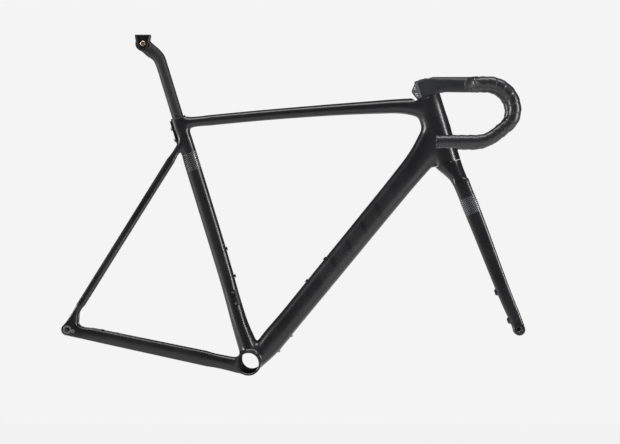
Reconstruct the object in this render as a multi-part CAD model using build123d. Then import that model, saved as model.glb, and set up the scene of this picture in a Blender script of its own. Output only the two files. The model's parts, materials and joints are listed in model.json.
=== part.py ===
from build123d import *
import math
import os

# Road bicycle frameset: frame, fork, one-piece cockpit, seatpost and saddle clamp.
# Millimetres and degrees. +X forward, +Y to the rider's left, +Z up.
# The origin is the centre of the bottom-bracket shell.

# ---------------------------------------------------------------- frame geometry
STACK = 597.9
REACH = 399.2
HEAD_ANGLE = 72.6
SEAT_ANGLE = 72.9
SEAT_OFFSET = 11.0          # the seat axis passes this far ahead of the shell centre
SEAT_TUBE_HEIGHT = 553.0    # height of the collar above the shell centre
CHAINSTAY_LENGTH = 413.0
DROP = 76.0                 # rear axle above the shell centre
HEAD_TUBE_LENGTH = 155.0

# ---------------------------------------------------------------- frame sections
HEAD_DEPTH = 62.0
HEAD_WIDTH_TOP = 51.0
HEAD_WIDTH_BOTTOM = 61.0
HEAD_BORE = 18.6
TOP_TUBE_ARCH = 4.6         # how far the top tube bows upwards at its middle
TOP_TUBE_DEPTH = 23.2
TOP_TUBE_HEAD_DEPTH = 34.0
TOP_TUBE_WIDTH = 30.0
TOP_TUBE_HEAD_WIDTH = 42.0
TOP_TUBE_DROP = 17.0        # its front end below the head tube's top, along the steering axis
TOP_TUBE_REAR_DROP = 14.5   # its rear end below the collar
DOWN_TUBE_DEPTH = 50.0
DOWN_TUBE_HEAD_DEPTH = 74.0
DOWN_TUBE_WIDTH = 64.0
DOWN_TUBE_HEAD_WIDTH = 50.0
DOWN_TUBE_START = 13.1      # its axis passes this far ahead of the shell centre
DOWN_TUBE_RISE = 60.0       # its upper end above the crown seat, along the steering axis
SEAT_TUBE_DEPTH = 34.0
SEAT_TUBE_WIDTH = 33.0
SEAT_TUBE_BASE_WIDTH = 66.0
WALL = 2.2
SHELL_WIDTH = 86.5
SHELL_BORE = 23.0
SHELL_OUTER = 28.0
CHAINSTAY_DEPTH = 34.0
CHAINSTAY_END_DEPTH = 26.0
CHAINSTAY_WIDTH = 19.0
CHAINSTAY_DIP = 10.0        # the chainstay axis passes this far below the shell centre
SEATSTAY_DEPTH = 16.6
SEATSTAY_END_DEPTH = 13.6
SEATSTAY_WIDTH = 12.5
SEATSTAY_DROP = 50.0        # where the seatstays meet the seat axis, below the collar
STAY_END_WIDTH = 9.0
TYRE_HALF_GAP = 22.0        # clear half width for the tyre
WHEEL_RADIUS = 346.0        # clear radius for the wheel

# ---------------------------------------------------------------- axles and dropouts
REAR_SPACING = 142.0
FRONT_SPACING = 100.0
AXLE_BORE = 6.0
DROPOUT_THICKNESS = 9.0
DROPOUT_RADIUS = 13.0
HANGER_RADIUS = 9.5
HANGER_SCREW_RADIUS = 2.5

# ---------------------------------------------------------------- fork
FORK_LENGTH = 406.0
FORK_RAKE = 43.5
CROWN_GAP = 1.0             # between the head tube's lower face and the crown
CROWN_HEIGHT = 70.0
CROWN_SWING = 35.5          # clear radius round the steering axis below the head tube
CROWN_DEPTH = 59.0
LEG_DEPTH = 33.0
LEG_TIP_DEPTH = 24.0
LEG_WIDTH = 18.0
LEG_TIP_WIDTH = 10.0
LEG_WALL = 3.0
STEERER_RADIUS = 14.3
STEERER_BASE_RADIUS = 16.5
STEERER_WALL = 2.5
BRAKE_BOLT_RADIUS = 2.5
BRAKE_BOSS_RADIUS = 7.0
BRAKE_SPACING = 70.0
REAR_BRAKE_SPACING = 34.0

# ---------------------------------------------------------------- headset
UPPER_BEARING_RADIUS = 21.0
UPPER_BEARING_BORE = 15.2
UPPER_BALL_RADIUS = 1.4
LOWER_BEARING_RADIUS = 26.0
LOWER_BEARING_BORE = 20.0
LOWER_BALL_RADIUS = 1.5
BEARING_HEIGHT = 7.0
RACE_THICKNESS = 1.7
GROOVE_CLEARANCE = 0.12
BALL_COUNT = 18
CAGE_THICKNESS = 0.7
COVER_HEIGHT = 3.4
COVER_GAP = 0.6
STEM_SWING = 34.0           # clear radius round the steering axis above the head tube

# ---------------------------------------------------------------- cockpit
STEM_HEIGHT = 38.8
STEM_CLAMP_RADIUS = 21.0
STEM_ARM_DEPTH = 34.2
STEM_ARM_WIDTH = 44.0
STEM_REACH = 105.0          # handlebar centre ahead of the steering axis, along X
BAR_RISE = 28.6             # handlebar centre above the head tube's top, along Z
BAR_RADIUS = 12.0
BAR_WALL = 2.0
BAR_HALF_WIDTH = 210.0
BAR_BEND = 30.0             # radius of the bend from the tops into the hooks
BAR_REACH = 90.4
BAR_DROP = 130.2
HOOK_TOP_RADIUS = 59.0
HOOK_FRONT_RADIUS = 45.0
HOOK_LOW_RADIUS = 75.0
HOOK_SLANT_TOP = 81.5        # where the hook's slant meets its front, below the tops
HOOK_SLANT_RUN = 60.6        # how far the slant runs backwards
BAR_END_LENGTH = 172.0      # straight lower end, from the front of the hook backwards
TAPE_START = 100.0
TAPE_THICKNESS = 3.2

# ---------------------------------------------------------------- seatpost and saddle clamp
POST_RADIUS = 12.7
POST_CLEARANCE = 0.05
POST_INSERT = 166.0
POST_TRAVEL = 112.0          # the bore runs this far below the seatpost
POST_EXPOSED = 134.0        # straight shaft above the collar
POST_SETBACK = 26.3
CLAMP_RISE = 181.3          # clamp axis above the collar, along the seat axis
CLAMP_RADIUS = 17.0
CLAMP_HALF_WIDTH = 16.0
EAR_THICKNESS = 7.0
RAIL_RADIUS = 3.5
RAIL_RISE = 15.5             # rail centres above the clamp axis
CRADLE_EDGE = 9.5            # the cradle's lower edge above the clamp axis
CLAMP_BOLT_RADIUS = 3.0
RUNNING_GAP = 0.4

FIT = 0.05                  # radial clearance of inserts and bolts in their holes

# ---------------------------------------------------------------- fittings
CHAINSTAY_GAP = 33.0        # from the axle to where the chainstay meets the dropout
SEATSTAY_GAP = 47.0         # from the axle to where the seatstay meets the dropout
GASKET_HEIGHT = 4.0
CLAMP_PAD_LENGTH = 46.0
CLAMP_PAD_WIDTH = 10.0
CLAMP_PLATE_LENGTH = 58.0
CLAMP_PLATE_THICKNESS = 3.3
CLAMP_BOLT_PITCH = 26.6
PORT_POINT = 78.0           # middle of the down-tube port, along its axis
PORT_LENGTH = 52.0
PORT_WIDTH = 30.0
BOTTLE_PITCH = 64.0
BOTTLE_RADIUS = 2.5
BRAKE_INSERT_RADIUS = 4.5
DERAILLEUR_HEIGHT = 146.0
DERAILLEUR_PLATE = 1.6
GROMMET_HEIGHT = 118.0
GROMMET_RADIUS = 4.0
LEG_END = 0.985             # where the straight leg ends, as a share of the way to the axle
AXLE_INSERT_RADIUS = 8.0
EXPANDER_LENGTH = 34.0
CAP_THICKNESS = 2.4
PRELOAD_RADIUS = 3.0
STEM_BOLT_REAR = -24.5      # stem clamp bolts behind the steering axis
STEM_BOLT_HEIGHTS = (12.0, 26.0)
CRADLE_WALL = 4.0
HEAD_EYE_RADIUS = 12.0


def unit(angle):
    """Direction in the side view, degrees above the forward axis."""
    return Vector(math.cos(math.radians(angle)), 0, math.sin(math.radians(angle)))


HEAD_UP = unit(180 - HEAD_ANGLE)
HEAD_FORE = unit(90 - HEAD_ANGLE)
SEAT_UP = unit(180 - SEAT_ANGLE)
SEAT_FORE = unit(90 - SEAT_ANGLE)
HEAD_TOP = Vector(REACH, 0, STACK)
SEAT_BASE = Vector(SEAT_OFFSET, 0, 0)
SEAT_LENGTH = SEAT_TUBE_HEIGHT / SEAT_UP.Z
REAR_AXLE = Vector(-math.sqrt(CHAINSTAY_LENGTH**2 - DROP**2), 0, DROP)


def head_point(up, fore=0.0, side=0.0):
    """A point given along the steering axis, with 0 at the head tube's top."""
    return HEAD_TOP + HEAD_UP * up + HEAD_FORE * fore + Vector(0, side, 0)


def seat_point(up, fore=0.0, side=0.0):
    """A point given along the seat axis, with 0 at the shell's height."""
    return SEAT_BASE + SEAT_UP * up + SEAT_FORE * fore + Vector(0, side, 0)


CROWN_SEAT = -HEAD_TUBE_LENGTH
FRONT_AXLE = head_point(CROWN_SEAT - FORK_LENGTH, FORK_RAKE)


def across(point, direction):
    """Section plane at a point: local X is sideways and local Z follows the direction."""
    return Plane(origin=point, x_dir=(0, 1, 0), z_dir=direction)


def oval_loft(stations, grow=0.0):
    """Loft through ovals given as (point, direction, width, depth)."""
    sections = [
        across(point, direction) * Ellipse(width / 2 + grow, depth / 2 + grow)
        for point, direction, width, depth in stations
    ]
    return loft(sections)


def rod(start, end, radius):
    """Round rod between two points."""
    axis = end - start
    return Plane(origin=start, z_dir=axis) * Cylinder(
        radius, axis.length, align=(Align.CENTER, Align.CENTER, Align.MIN)
    )


def lateral_rod(centre, radius, low, high):
    """Round rod along Y between two side positions."""
    return rod(Vector(centre.X, low, centre.Z), Vector(centre.X, high, centre.Z), radius)


def head_disc(low, high, radius):
    """Disc on the steering axis between two heights."""
    return rod(head_point(low), head_point(high), radius)


def head_cone(low, high, low_radius, high_radius):
    """Cone on the steering axis between two heights."""
    return across(head_point(low), HEAD_UP) * Cone(
        low_radius, high_radius, high - low, align=(Align.CENTER, Align.CENTER, Align.MIN)
    )


def block(centre, direction, width, depth, length):
    """Box centred on a point: width along Y, depth across, length along the direction."""
    return across(centre, direction) * Box(width, depth, length)


def side_plate(points, low, high):
    """Plate cut from a side-view outline, between two side positions."""
    corners = [Vector(point.X, low, point.Z) for point in points]
    outline = make_face(Polyline(*corners, close=True))
    return extrude(outline, amount=high - low, dir=(0, 1, 0))


def mirrored(solid):
    """The same piece on the other side of the bicycle."""
    return mirror(solid, about=Plane.XZ)


# ---------------------------------------------------------------- outer shapes of the tubes
def head_stations():
    return [
        (head_point(CROWN_SEAT, 1), HEAD_UP, HEAD_WIDTH_BOTTOM, HEAD_DEPTH),
        (head_point(-COVER_HEIGHT - COVER_GAP, 1), HEAD_UP, HEAD_WIDTH_TOP, HEAD_DEPTH),
    ]


def seat_stations():
    widths = [(0, SEAT_TUBE_BASE_WIDTH), (0.12, 0.8 * SEAT_TUBE_BASE_WIDTH), (0.3, SEAT_TUBE_WIDTH + 3)]
    widths += [(0.5, SEAT_TUBE_WIDTH), (1.0, SEAT_TUBE_WIDTH)]
    return [
        (seat_point(SEAT_LENGTH * share), SEAT_UP, width, SEAT_TUBE_DEPTH)
        for share, width in widths
    ]


TOP_START = seat_point(SEAT_LENGTH - TOP_TUBE_REAR_DROP)
TOP_END = head_point(-TOP_TUBE_DROP)
DOWN_START = Vector(DOWN_TUBE_START, 0, 0)
DOWN_END = head_point(CROWN_SEAT + DOWN_TUBE_RISE)
DOWN_AXIS = (DOWN_END - DOWN_START).normalized()
DOWN_LENGTH = (DOWN_END - DOWN_START).length
DOWN_UPWARD = Vector(-DOWN_AXIS.Z, 0, DOWN_AXIS.X)


def top_stations():
    chord = TOP_END - TOP_START
    stations = []
    for share in (0.0, 0.33, 0.67, 1.0):
        arch = Vector(0, 0, 4 * TOP_TUBE_ARCH * share * (1 - share))
        flare = share**3
        width = TOP_TUBE_WIDTH + (TOP_TUBE_HEAD_WIDTH - TOP_TUBE_WIDTH) * flare
        depth = TOP_TUBE_DEPTH + (TOP_TUBE_HEAD_DEPTH - TOP_TUBE_DEPTH) * flare
        stations.append((TOP_START + chord * share + arch, chord, width, depth))
    return stations


def down_stations():
    stations = []
    for share in (0.0, 0.3, 0.75, 0.9, 1.0):
        flare = max(0.0, (share - 0.75) / 0.25) ** 2
        width = DOWN_TUBE_WIDTH + (DOWN_TUBE_HEAD_WIDTH - DOWN_TUBE_WIDTH) * share
        depth = DOWN_TUBE_DEPTH + 3 * share + (DOWN_TUBE_HEAD_DEPTH - DOWN_TUBE_DEPTH - 3) * flare
        stations.append((DOWN_START + DOWN_AXIS * (DOWN_LENGTH * share), DOWN_AXIS, width, depth))
    return stations


STAY_END = REAR_SPACING / 2 + DROPOUT_THICKNESS / 2
CHAINSTAY_START = Vector(0, 0, -CHAINSTAY_DIP)
CHAINSTAY_AXIS = (REAR_AXLE - CHAINSTAY_START).normalized()
CHAINSTAY_RUN = (REAR_AXLE - CHAINSTAY_START).length
SEATSTAY_START = seat_point(SEAT_LENGTH - SEATSTAY_DROP)
SEATSTAY_FOOT = REAR_AXLE + Vector(-6, 0, 0)
SEATSTAY_AXIS = (SEATSTAY_FOOT - SEATSTAY_START).normalized()
SEATSTAY_RUN = (SEATSTAY_FOOT - SEATSTAY_START).length


def chainstay_stations():
    end = (CHAINSTAY_RUN - CHAINSTAY_GAP) / CHAINSTAY_RUN
    inner = TYRE_HALF_GAP + CHAINSTAY_WIDTH / 2
    plan = [(0.03, inner + 2.5, CHAINSTAY_WIDTH), (0.22, inner, CHAINSTAY_WIDTH - 1)]
    plan += [(0.5, 0.5 * inner + 0.5 * STAY_END - 4, CHAINSTAY_WIDTH - 3)]
    plan += [(0.78, STAY_END - 6, STAY_END_WIDTH + 4), (end, STAY_END, STAY_END_WIDTH)]
    stations = []
    for share, side, width in plan:
        depth = CHAINSTAY_DEPTH + (CHAINSTAY_END_DEPTH - CHAINSTAY_DEPTH) * share
        point = CHAINSTAY_START + CHAINSTAY_AXIS * (CHAINSTAY_RUN * share) + Vector(0, side, 0)
        stations.append((point, CHAINSTAY_AXIS, width, depth))
    return stations


def seatstay_stations():
    end = (SEATSTAY_RUN - SEATSTAY_GAP) / SEATSTAY_RUN
    tyre = TYRE_HALF_GAP + SEATSTAY_WIDTH / 2
    plan = [(0.0, SEATSTAY_WIDTH / 2 + 5, SEATSTAY_WIDTH + 2), (0.3, tyre - 2, SEATSTAY_WIDTH)]
    plan += [(0.6, 0.45 * tyre + 0.55 * STAY_END, SEATSTAY_WIDTH - 1), (end, STAY_END, STAY_END_WIDTH)]
    stations = []
    for share, side, width in plan:
        depth = SEATSTAY_DEPTH + (SEATSTAY_END_DEPTH - SEATSTAY_DEPTH) * share
        point = SEATSTAY_START + SEATSTAY_AXIS * (SEATSTAY_RUN * share) + Vector(0, side, 0)
        stations.append((point, SEATSTAY_AXIS, width, depth))
    return stations


HEAD_OUTER = oval_loft(head_stations())
SEAT_OUTER = oval_loft(seat_stations())
TOP_OUTER = oval_loft(top_stations())
DOWN_OUTER = oval_loft(down_stations())
SHELL_SOLID = lateral_rod(Vector(0, 0, 0), SHELL_OUTER, -SHELL_WIDTH / 2, SHELL_WIDTH / 2)
POST_BORE = rod(
    seat_point(SEAT_LENGTH - POST_INSERT - POST_TRAVEL),
    seat_point(SEAT_LENGTH + 30),
    POST_RADIUS + POST_CLEARANCE,
)


# ---------------------------------------------------------------- frame pieces
def head_tube():
    """Head tube with a stepped bore for the two headset bearings."""
    low = CROWN_SEAT
    high = -COVER_HEIGHT - COVER_GAP
    solid = HEAD_OUTER - head_disc(low - 5, high + 5, HEAD_BORE)
    solid -= head_disc(high - BEARING_HEIGHT, high + 5, UPPER_BEARING_RADIUS)
    return solid - head_disc(low - 5, low + 1 + BEARING_HEIGHT, LOWER_BEARING_RADIUS)


def clamp_slot(depth_in, depth_out, width, margin=0.0):
    """Block across the rear wall of the seat tube, where the clamp pad sits."""
    centre = seat_point(SEAT_LENGTH - 33, -(depth_in + depth_out) / 2)
    return block(centre, SEAT_UP, width, depth_out - depth_in, CLAMP_PAD_LENGTH + margin)




def seat_clamp_bolt_points():
    middle = SEAT_LENGTH - 35
    return [middle - CLAMP_BOLT_PITCH / 2, middle + CLAMP_BOLT_PITCH / 2]


def seat_tube():
    """Hollow seat tube, cut to the shell, with the round bore of the seatpost."""
    inner = oval_loft(seat_stations(), grow=-WALL - 2.1)
    low_inner = inner & block(seat_point(SEAT_LENGTH * 0.33), SEAT_UP, 200, 200, SEAT_LENGTH * 0.5)
    solid = SEAT_OUTER - SHELL_SOLID - low_inner - POST_BORE
    solid -= block(seat_point(SEAT_LENGTH), SEAT_UP, 80, 80, 2 * GASKET_HEIGHT)
    solid -= clamp_slot(POST_RADIUS - 3, SEAT_TUBE_DEPTH / 2 + 5, CLAMP_PAD_WIDTH + 2 * FIT, 0.4)
    solid -= lateral_rod(grommet_point(), GROMMET_RADIUS, -60, 0)
    for hole in bottle_holes("seat"):
        solid -= hole
    return solid


def seatpost_gasket():
    """Rubber lip round the seatpost, on top of the seat tube."""
    ring = oval_loft(seat_stations()) & block(
        seat_point(SEAT_LENGTH - GASKET_HEIGHT / 2), SEAT_UP, 80, 80, GASKET_HEIGHT
    )
    return ring - POST_BORE


def seat_clamp_pad():
    """Curved pad that the two bolts press against the seatpost."""
    pad = clamp_slot(POST_RADIUS - 1, POST_RADIUS + 2.6, CLAMP_PAD_WIDTH)
    return pad - POST_BORE


def seat_clamp_plate():
    """Plate on the rear face of the seat tube that holds the clamp bolts."""
    zone = block(seat_point(SEAT_LENGTH - 33, -SEAT_TUBE_DEPTH / 2), SEAT_UP, 17, 16, CLAMP_PLATE_LENGTH)
    plate = (oval_loft(seat_stations(), grow=CLAMP_PLATE_THICKNESS) & zone) - SEAT_OUTER
    for height in seat_clamp_bolt_points():
        plate -= rod(seat_point(height), seat_point(height, -40), 2.5)
    return plate


def seat_clamp_bolts():
    """Two socket-head bolts through the clamp plate, ending on the pad."""
    bolts = []
    face = SEAT_TUBE_DEPTH / 2 + CLAMP_PLATE_THICKNESS
    for height in seat_clamp_bolt_points():
        bolt = rod(seat_point(height, -POST_RADIUS - 2.6), seat_point(height, -face - 0.2), 2.5)
        bolt += rod(seat_point(height, -face - 0.2), seat_point(height, -face - 3.0), 4.0)
        bolts.append(bolt - rod(seat_point(height, -face - 1.2), seat_point(height, -face - 9), 2.0))
    return bolts


def top_tube():
    """Hollow top tube between the seat tube and the head tube."""
    inner = oval_loft(top_stations(), grow=-WALL)
    solid = TOP_OUTER - inner - HEAD_OUTER - SEAT_OUTER
    solid -= head_disc(-COVER_HEIGHT - COVER_GAP, STEM_HEIGHT, STEM_SWING)
    return max(solid.solids(), key=lambda piece: piece.volume)




def bottle_points(tube):
    """Centres and outward directions of the two bottle-cage bolts of a tube."""
    if tube == "down":
        first = DOWN_START + DOWN_AXIS * 218
        half = (DOWN_TUBE_DEPTH + 1) / 2
        return [(first + DOWN_AXIS * (BOTTLE_PITCH * i), DOWN_UPWARD, half) for i in range(2)]
    return [(seat_point(200 + BOTTLE_PITCH * i), SEAT_FORE, SEAT_TUBE_DEPTH / 2) for i in range(2)]


def bottle_holes(tube):
    return [
        rod(point + out * (half - 9), point + out * (half + 5), BOTTLE_RADIUS + FIT)
        for point, out, half in bottle_points(tube)
    ]


def bottle_bolts():
    """Low round-head bolts that close the bottle-cage bosses."""
    bolts = []
    for tube in ("down", "seat"):
        for point, out, half in bottle_points(tube):
            bolt = rod(point + out * (half - 7), point + out * (half + 0.6), BOTTLE_RADIUS)
            bolt += rod(point + out * (half + 0.6), point + out * (half + 2.9), 4.2)
            bolts.append(bolt - rod(point + out * (half + 1.5), point + out * (half + 9), 1.6))
    return bolts


def port_zone(width, length, out):
    """Block over the port on the lower face of the down tube."""
    centre = DOWN_START + DOWN_AXIS * PORT_POINT - DOWN_UPWARD * (DOWN_TUBE_DEPTH / 2)
    return block(centre, DOWN_AXIS, width, out, length)


def down_tube():
    """Hollow down tube, flared into the head tube and cut to the shell."""
    inner = oval_loft(down_stations(), grow=-WALL)
    solid = DOWN_OUTER - HEAD_OUTER - SEAT_OUTER - SHELL_SOLID
    solid -= inner
    solid -= head_disc(CROWN_SEAT - 90, CROWN_SEAT, CROWN_SWING)
    solid -= port_zone(PORT_WIDTH - 8, PORT_LENGTH - 14, 30)
    for hole in bottle_holes("down"):
        solid -= hole
    return max(solid.solids(), key=lambda piece: piece.volume)


def down_tube_port_cover():
    """Cover over the cable port on the lower face of the down tube."""
    skin = oval_loft(down_stations(), grow=1.6) - DOWN_OUTER
    cover = skin & port_zone(PORT_WIDTH, PORT_LENGTH, 24)
    for screw in port_screw_points():
        cover -= rod(screw + DOWN_UPWARD * 8, screw - DOWN_UPWARD * 8, 1.5)
    return cover


def port_screw_points():
    face = DOWN_START + DOWN_AXIS * PORT_POINT - DOWN_UPWARD * (DOWN_TUBE_DEPTH / 2)
    return [face + DOWN_AXIS * (side * (PORT_LENGTH / 2 - 4)) for side in (-1, 1)]


def port_screws():
    """Two countersunk screws that hold the port cover."""
    screws = []
    for point in port_screw_points():
        screw = rod(point + DOWN_UPWARD * 0.1, point - DOWN_UPWARD * 2.2, 1.5)
        screws.append(screw + rod(point - DOWN_UPWARD * 2.2, point - DOWN_UPWARD * 3.4, 2.8))
    return screws


def bb_shell():
    """Bottom-bracket shell with a straight press-fit bore."""
    bore = lateral_rod(Vector(0, 0, 0), SHELL_BORE, -SHELL_WIDTH, SHELL_WIDTH)
    return SHELL_SOLID - bore


def chainstay():
    """Hollow left chainstay between the shell and the dropout."""
    outer = oval_loft(chainstay_stations())
    inner = oval_loft(chainstay_stations(), grow=-WALL)
    solid = outer - SHELL_SOLID - SEAT_OUTER - DOWN_OUTER - inner
    return max(solid.solids(), key=lambda piece: piece.volume)


def rear_brake_points():
    middle = CHAINSTAY_START + CHAINSTAY_AXIS * (CHAINSTAY_RUN * 0.78) + Vector(0, STAY_END - 6, 0)
    return [middle + CHAINSTAY_AXIS * (side * REAR_BRAKE_SPACING / 2) for side in (-1, 1)]


CHAINSTAY_UPWARD = Vector(CHAINSTAY_AXIS.Z, 0, -CHAINSTAY_AXIS.X)


def rear_brake_inserts():
    """Two bushes through the left chainstay for the bolts of a flat-mount brake."""
    inserts = []
    half = CHAINSTAY_DEPTH / 2 - 2.4
    for point in rear_brake_points():
        bush = rod(point - CHAINSTAY_UPWARD * half, point + CHAINSTAY_UPWARD * half, BRAKE_INSERT_RADIUS)
        low = point - CHAINSTAY_UPWARD * (half + 5)
        inserts.append(bush - rod(low, point + CHAINSTAY_UPWARD * (half + 5), BRAKE_BOLT_RADIUS))
    return inserts


def chainstay_left():
    solid = chainstay()
    for point in rear_brake_points():
        low = point - CHAINSTAY_UPWARD * 30
        solid -= rod(low, point + CHAINSTAY_UPWARD * 30, BRAKE_INSERT_RADIUS)
    return solid


def seatstay():
    """Hollow left seatstay between the seat tube and the dropout."""
    outer = oval_loft(seatstay_stations())
    inner = oval_loft(seatstay_stations(), grow=-WALL)
    solid = outer - SEAT_OUTER - TOP_OUTER - inner
    solid = max(solid.solids(), key=lambda piece: piece.volume)
    zone = block(seat_point(SEAT_LENGTH - 33, -SEAT_TUBE_DEPTH / 2), SEAT_UP, 17, 16, CLAMP_PLATE_LENGTH)
    return solid - zone


def dropout_outline(point, axis, gap, depth):
    """Arm of the dropout, from the axle to the end face of a stay."""
    normal = Vector(axis.Z, 0, -axis.X)
    end = point - axis * gap
    foot = REAR_AXLE
    return [
        end + normal * (depth / 2),
        end - normal * (depth / 2),
        foot - normal * DROPOUT_RADIUS * 0.98,
        foot + normal * DROPOUT_RADIUS * 0.98,
    ]


def dropout_blank():
    """Left dropout before its bores: a disc with an arm to each stay."""
    low = REAR_SPACING / 2
    high = low + DROPOUT_THICKNESS
    chain_end = CHAINSTAY_DEPTH + (CHAINSTAY_END_DEPTH - CHAINSTAY_DEPTH) * (1 - CHAINSTAY_GAP / CHAINSTAY_RUN)
    seat_end = SEATSTAY_DEPTH + (SEATSTAY_END_DEPTH - SEATSTAY_DEPTH) * (1 - SEATSTAY_GAP / SEATSTAY_RUN)
    chain_foot = CHAINSTAY_START + CHAINSTAY_AXIS * CHAINSTAY_RUN
    chain_arm = dropout_outline(chain_foot, CHAINSTAY_AXIS, CHAINSTAY_GAP, chain_end)
    seat_arm = dropout_outline(SEATSTAY_FOOT, SEATSTAY_AXIS, SEATSTAY_GAP, seat_end)
    solid = lateral_rod(REAR_AXLE, DROPOUT_RADIUS, low, high)
    solid += side_plate(chain_arm, low, high)
    return solid + side_plate(seat_arm, low, high)


def dropout_left():
    return dropout_blank() - lateral_rod(REAR_AXLE, AXLE_BORE, 0, 200)


def hanger_blank(grow=0.0):
    """Outline of the hanger insert: a ring with a small lobe for its screw."""
    low = REAR_SPACING / 2
    high = low + DROPOUT_THICKNESS
    ring = lateral_rod(REAR_AXLE, HANGER_RADIUS + grow, low, high)
    return ring + lateral_rod(hanger_screw_point(), 4.6 + grow, low, high)


def hanger_screw_point():
    return REAR_AXLE + Vector(12.6, 0, -3.6)


def dropout_right():
    return mirrored(dropout_blank() - hanger_blank())


def hanger_insert():
    """Replaceable right axle insert, where the derailleur hanger bolts on."""
    solid = hanger_blank() - lateral_rod(REAR_AXLE, AXLE_BORE, 0, 200)
    return mirrored(solid - lateral_rod(hanger_screw_point(), HANGER_SCREW_RADIUS, 0, 200))


def hanger_screw():
    high = REAR_SPACING / 2 + DROPOUT_THICKNESS
    screw = lateral_rod(hanger_screw_point(), HANGER_SCREW_RADIUS, high - 8, high + 0.6)
    return mirrored(screw - lateral_rod(hanger_screw_point(), 1.2, high - 1.5, high + 5))




def grommet_point():
    share = GROMMET_HEIGHT / SEAT_UP.Z
    return seat_point(share, 2)


def seat_tube_width_at(height):
    """Width of the seat tube at a height, read from its solid."""
    slab = SEAT_OUTER & Box(200, 200, 0.2).moved(Location((seat_point(height / SEAT_UP.Z).X, 0, height)))
    return slab.bounding_box().size.Y


def seat_tube_grommet():
    """Rubber cable grommet in the right wall of the seat tube."""
    side = seat_tube_width_at(GROMMET_HEIGHT) / 2
    plug = lateral_rod(grommet_point(), GROMMET_RADIUS, -side - 0.9, -side + 4.5)
    return plug - lateral_rod(grommet_point(), 1.7, -side - 5, -side + 2.5)


def derailleur_zone(width, length, grow=0.0):
    side = seat_tube_width_at(DERAILLEUR_HEIGHT) / 2
    centre = seat_point(DERAILLEUR_HEIGHT / SEAT_UP.Z, 2, -side)
    return block(centre, SEAT_UP, 16 + grow, width, length)


def derailleur_screw_points():
    side = seat_tube_width_at(DERAILLEUR_HEIGHT) / 2
    middle = DERAILLEUR_HEIGHT / SEAT_UP.Z
    return [seat_point(middle + up * 13, 2, -side) for up in (-1, 1)]


def derailleur_cover():
    """Cover plate over the front-derailleur mount, on the seat tube's right side."""
    skin = oval_loft(seat_stations(), grow=DERAILLEUR_PLATE) - SEAT_OUTER
    plate = skin & derailleur_zone(24, 36)
    for point in derailleur_screw_points():
        plate -= lateral_rod(point, 1.6, point.Y - 20, point.Y + 20)
    return plate


def derailleur_cover_screws():
    """Two screws that hold the front-derailleur cover."""
    screws = []
    for point in derailleur_screw_points():
        side = -seat_tube_width_at(point.Z) / 2
        shank = lateral_rod(point, 1.6, side - DERAILLEUR_PLATE - 0.4, side + 0.2) - SEAT_OUTER
        head = lateral_rod(point, 2.8, side - DERAILLEUR_PLATE - 1.6, side - DERAILLEUR_PLATE - 0.3)
        screws.append(shank + head)
    return screws


def head_badge():
    """Blank badge on the front of the head tube."""
    skin = oval_loft(head_stations(), grow=0.9) - HEAD_OUTER
    return skin & block(head_point(-68, HEAD_DEPTH / 2), HEAD_UP, 22, 12, 34)


# ---------------------------------------------------------------- headset bearings
def race_ring(low, inner, outer, pitch, ball):
    """One bearing race: a ring with the ball groove, turned about the steering axis."""
    middle = head_point(low + BEARING_HEIGHT / 2)
    half_plane = Plane(origin=middle, x_dir=HEAD_FORE, z_dir=HEAD_FORE.cross(HEAD_UP))
    profile = Pos((inner + outer) / 2, 0) * Rectangle(outer - inner, BEARING_HEIGHT)
    profile -= Pos(pitch, 0) * Circle(ball + GROOVE_CLEARANCE)
    return revolve(half_plane * profile, axis=Axis(middle, HEAD_UP))


UPPER_LOW = -COVER_HEIGHT - COVER_GAP - BEARING_HEIGHT
LOWER_LOW = CROWN_SEAT + 1
UPPER_PITCH = (UPPER_BEARING_RADIUS + UPPER_BEARING_BORE) / 2
LOWER_PITCH = (LOWER_BEARING_RADIUS + LOWER_BEARING_BORE) / 2


def upper_bearing_outer_race():
    inner = UPPER_BEARING_RADIUS - RACE_THICKNESS
    return race_ring(UPPER_LOW, inner, UPPER_BEARING_RADIUS, UPPER_PITCH, UPPER_BALL_RADIUS)


def upper_bearing_inner_race():
    outer = UPPER_BEARING_BORE + RACE_THICKNESS
    return race_ring(UPPER_LOW, UPPER_BEARING_BORE, outer, UPPER_PITCH, UPPER_BALL_RADIUS)


def lower_bearing_outer_race():
    inner = LOWER_BEARING_RADIUS - RACE_THICKNESS
    return race_ring(LOWER_LOW, inner, LOWER_BEARING_RADIUS, LOWER_PITCH, LOWER_BALL_RADIUS)


def lower_bearing_inner_race():
    outer = LOWER_BEARING_BORE + RACE_THICKNESS
    return race_ring(LOWER_LOW, LOWER_BEARING_BORE, outer, LOWER_PITCH, LOWER_BALL_RADIUS)


def ball_cage(low, pitch, ball):
    """Ring of loose balls in the round windows of their cage."""
    middle = low + BEARING_HEIGHT / 2
    cage = head_disc(middle - ball - 0.6, middle + ball + 0.6, pitch + CAGE_THICKNESS / 2)
    cage -= head_disc(middle - 5, middle + 5, pitch - CAGE_THICKNESS / 2)
    balls = []
    for i in range(BALL_COUNT):
        angle = 2 * math.pi * i / BALL_COUNT
        spoke = HEAD_FORE * math.cos(angle) + Vector(0, math.sin(angle), 0)
        centre = head_point(middle)
        cage -= rod(centre + spoke * (pitch - 3), centre + spoke * (pitch + 3), ball + FIT)
        balls.append(Sphere(ball).moved(Location(centre + spoke * pitch)))
    return [cage, *balls]


# ---------------------------------------------------------------- fork
def crown_stations():
    low = CROWN_SEAT - CROWN_GAP
    rows = [(0.0, 2.5, CROWN_DEPTH, HEAD_WIDTH_BOTTOM), (0.33, 10.4, 0.75 * CROWN_DEPTH, 70)]
    rows += [(0.66, 16.0, 0.6 * CROWN_DEPTH, 77), (1.0, LEG_START_FORE, LEG_DEPTH, LEG_SPAN)]
    return [
        (head_point(low - CROWN_HEIGHT * share, fore), depth, width)
        for share, fore, depth, width in rows
    ]


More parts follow.
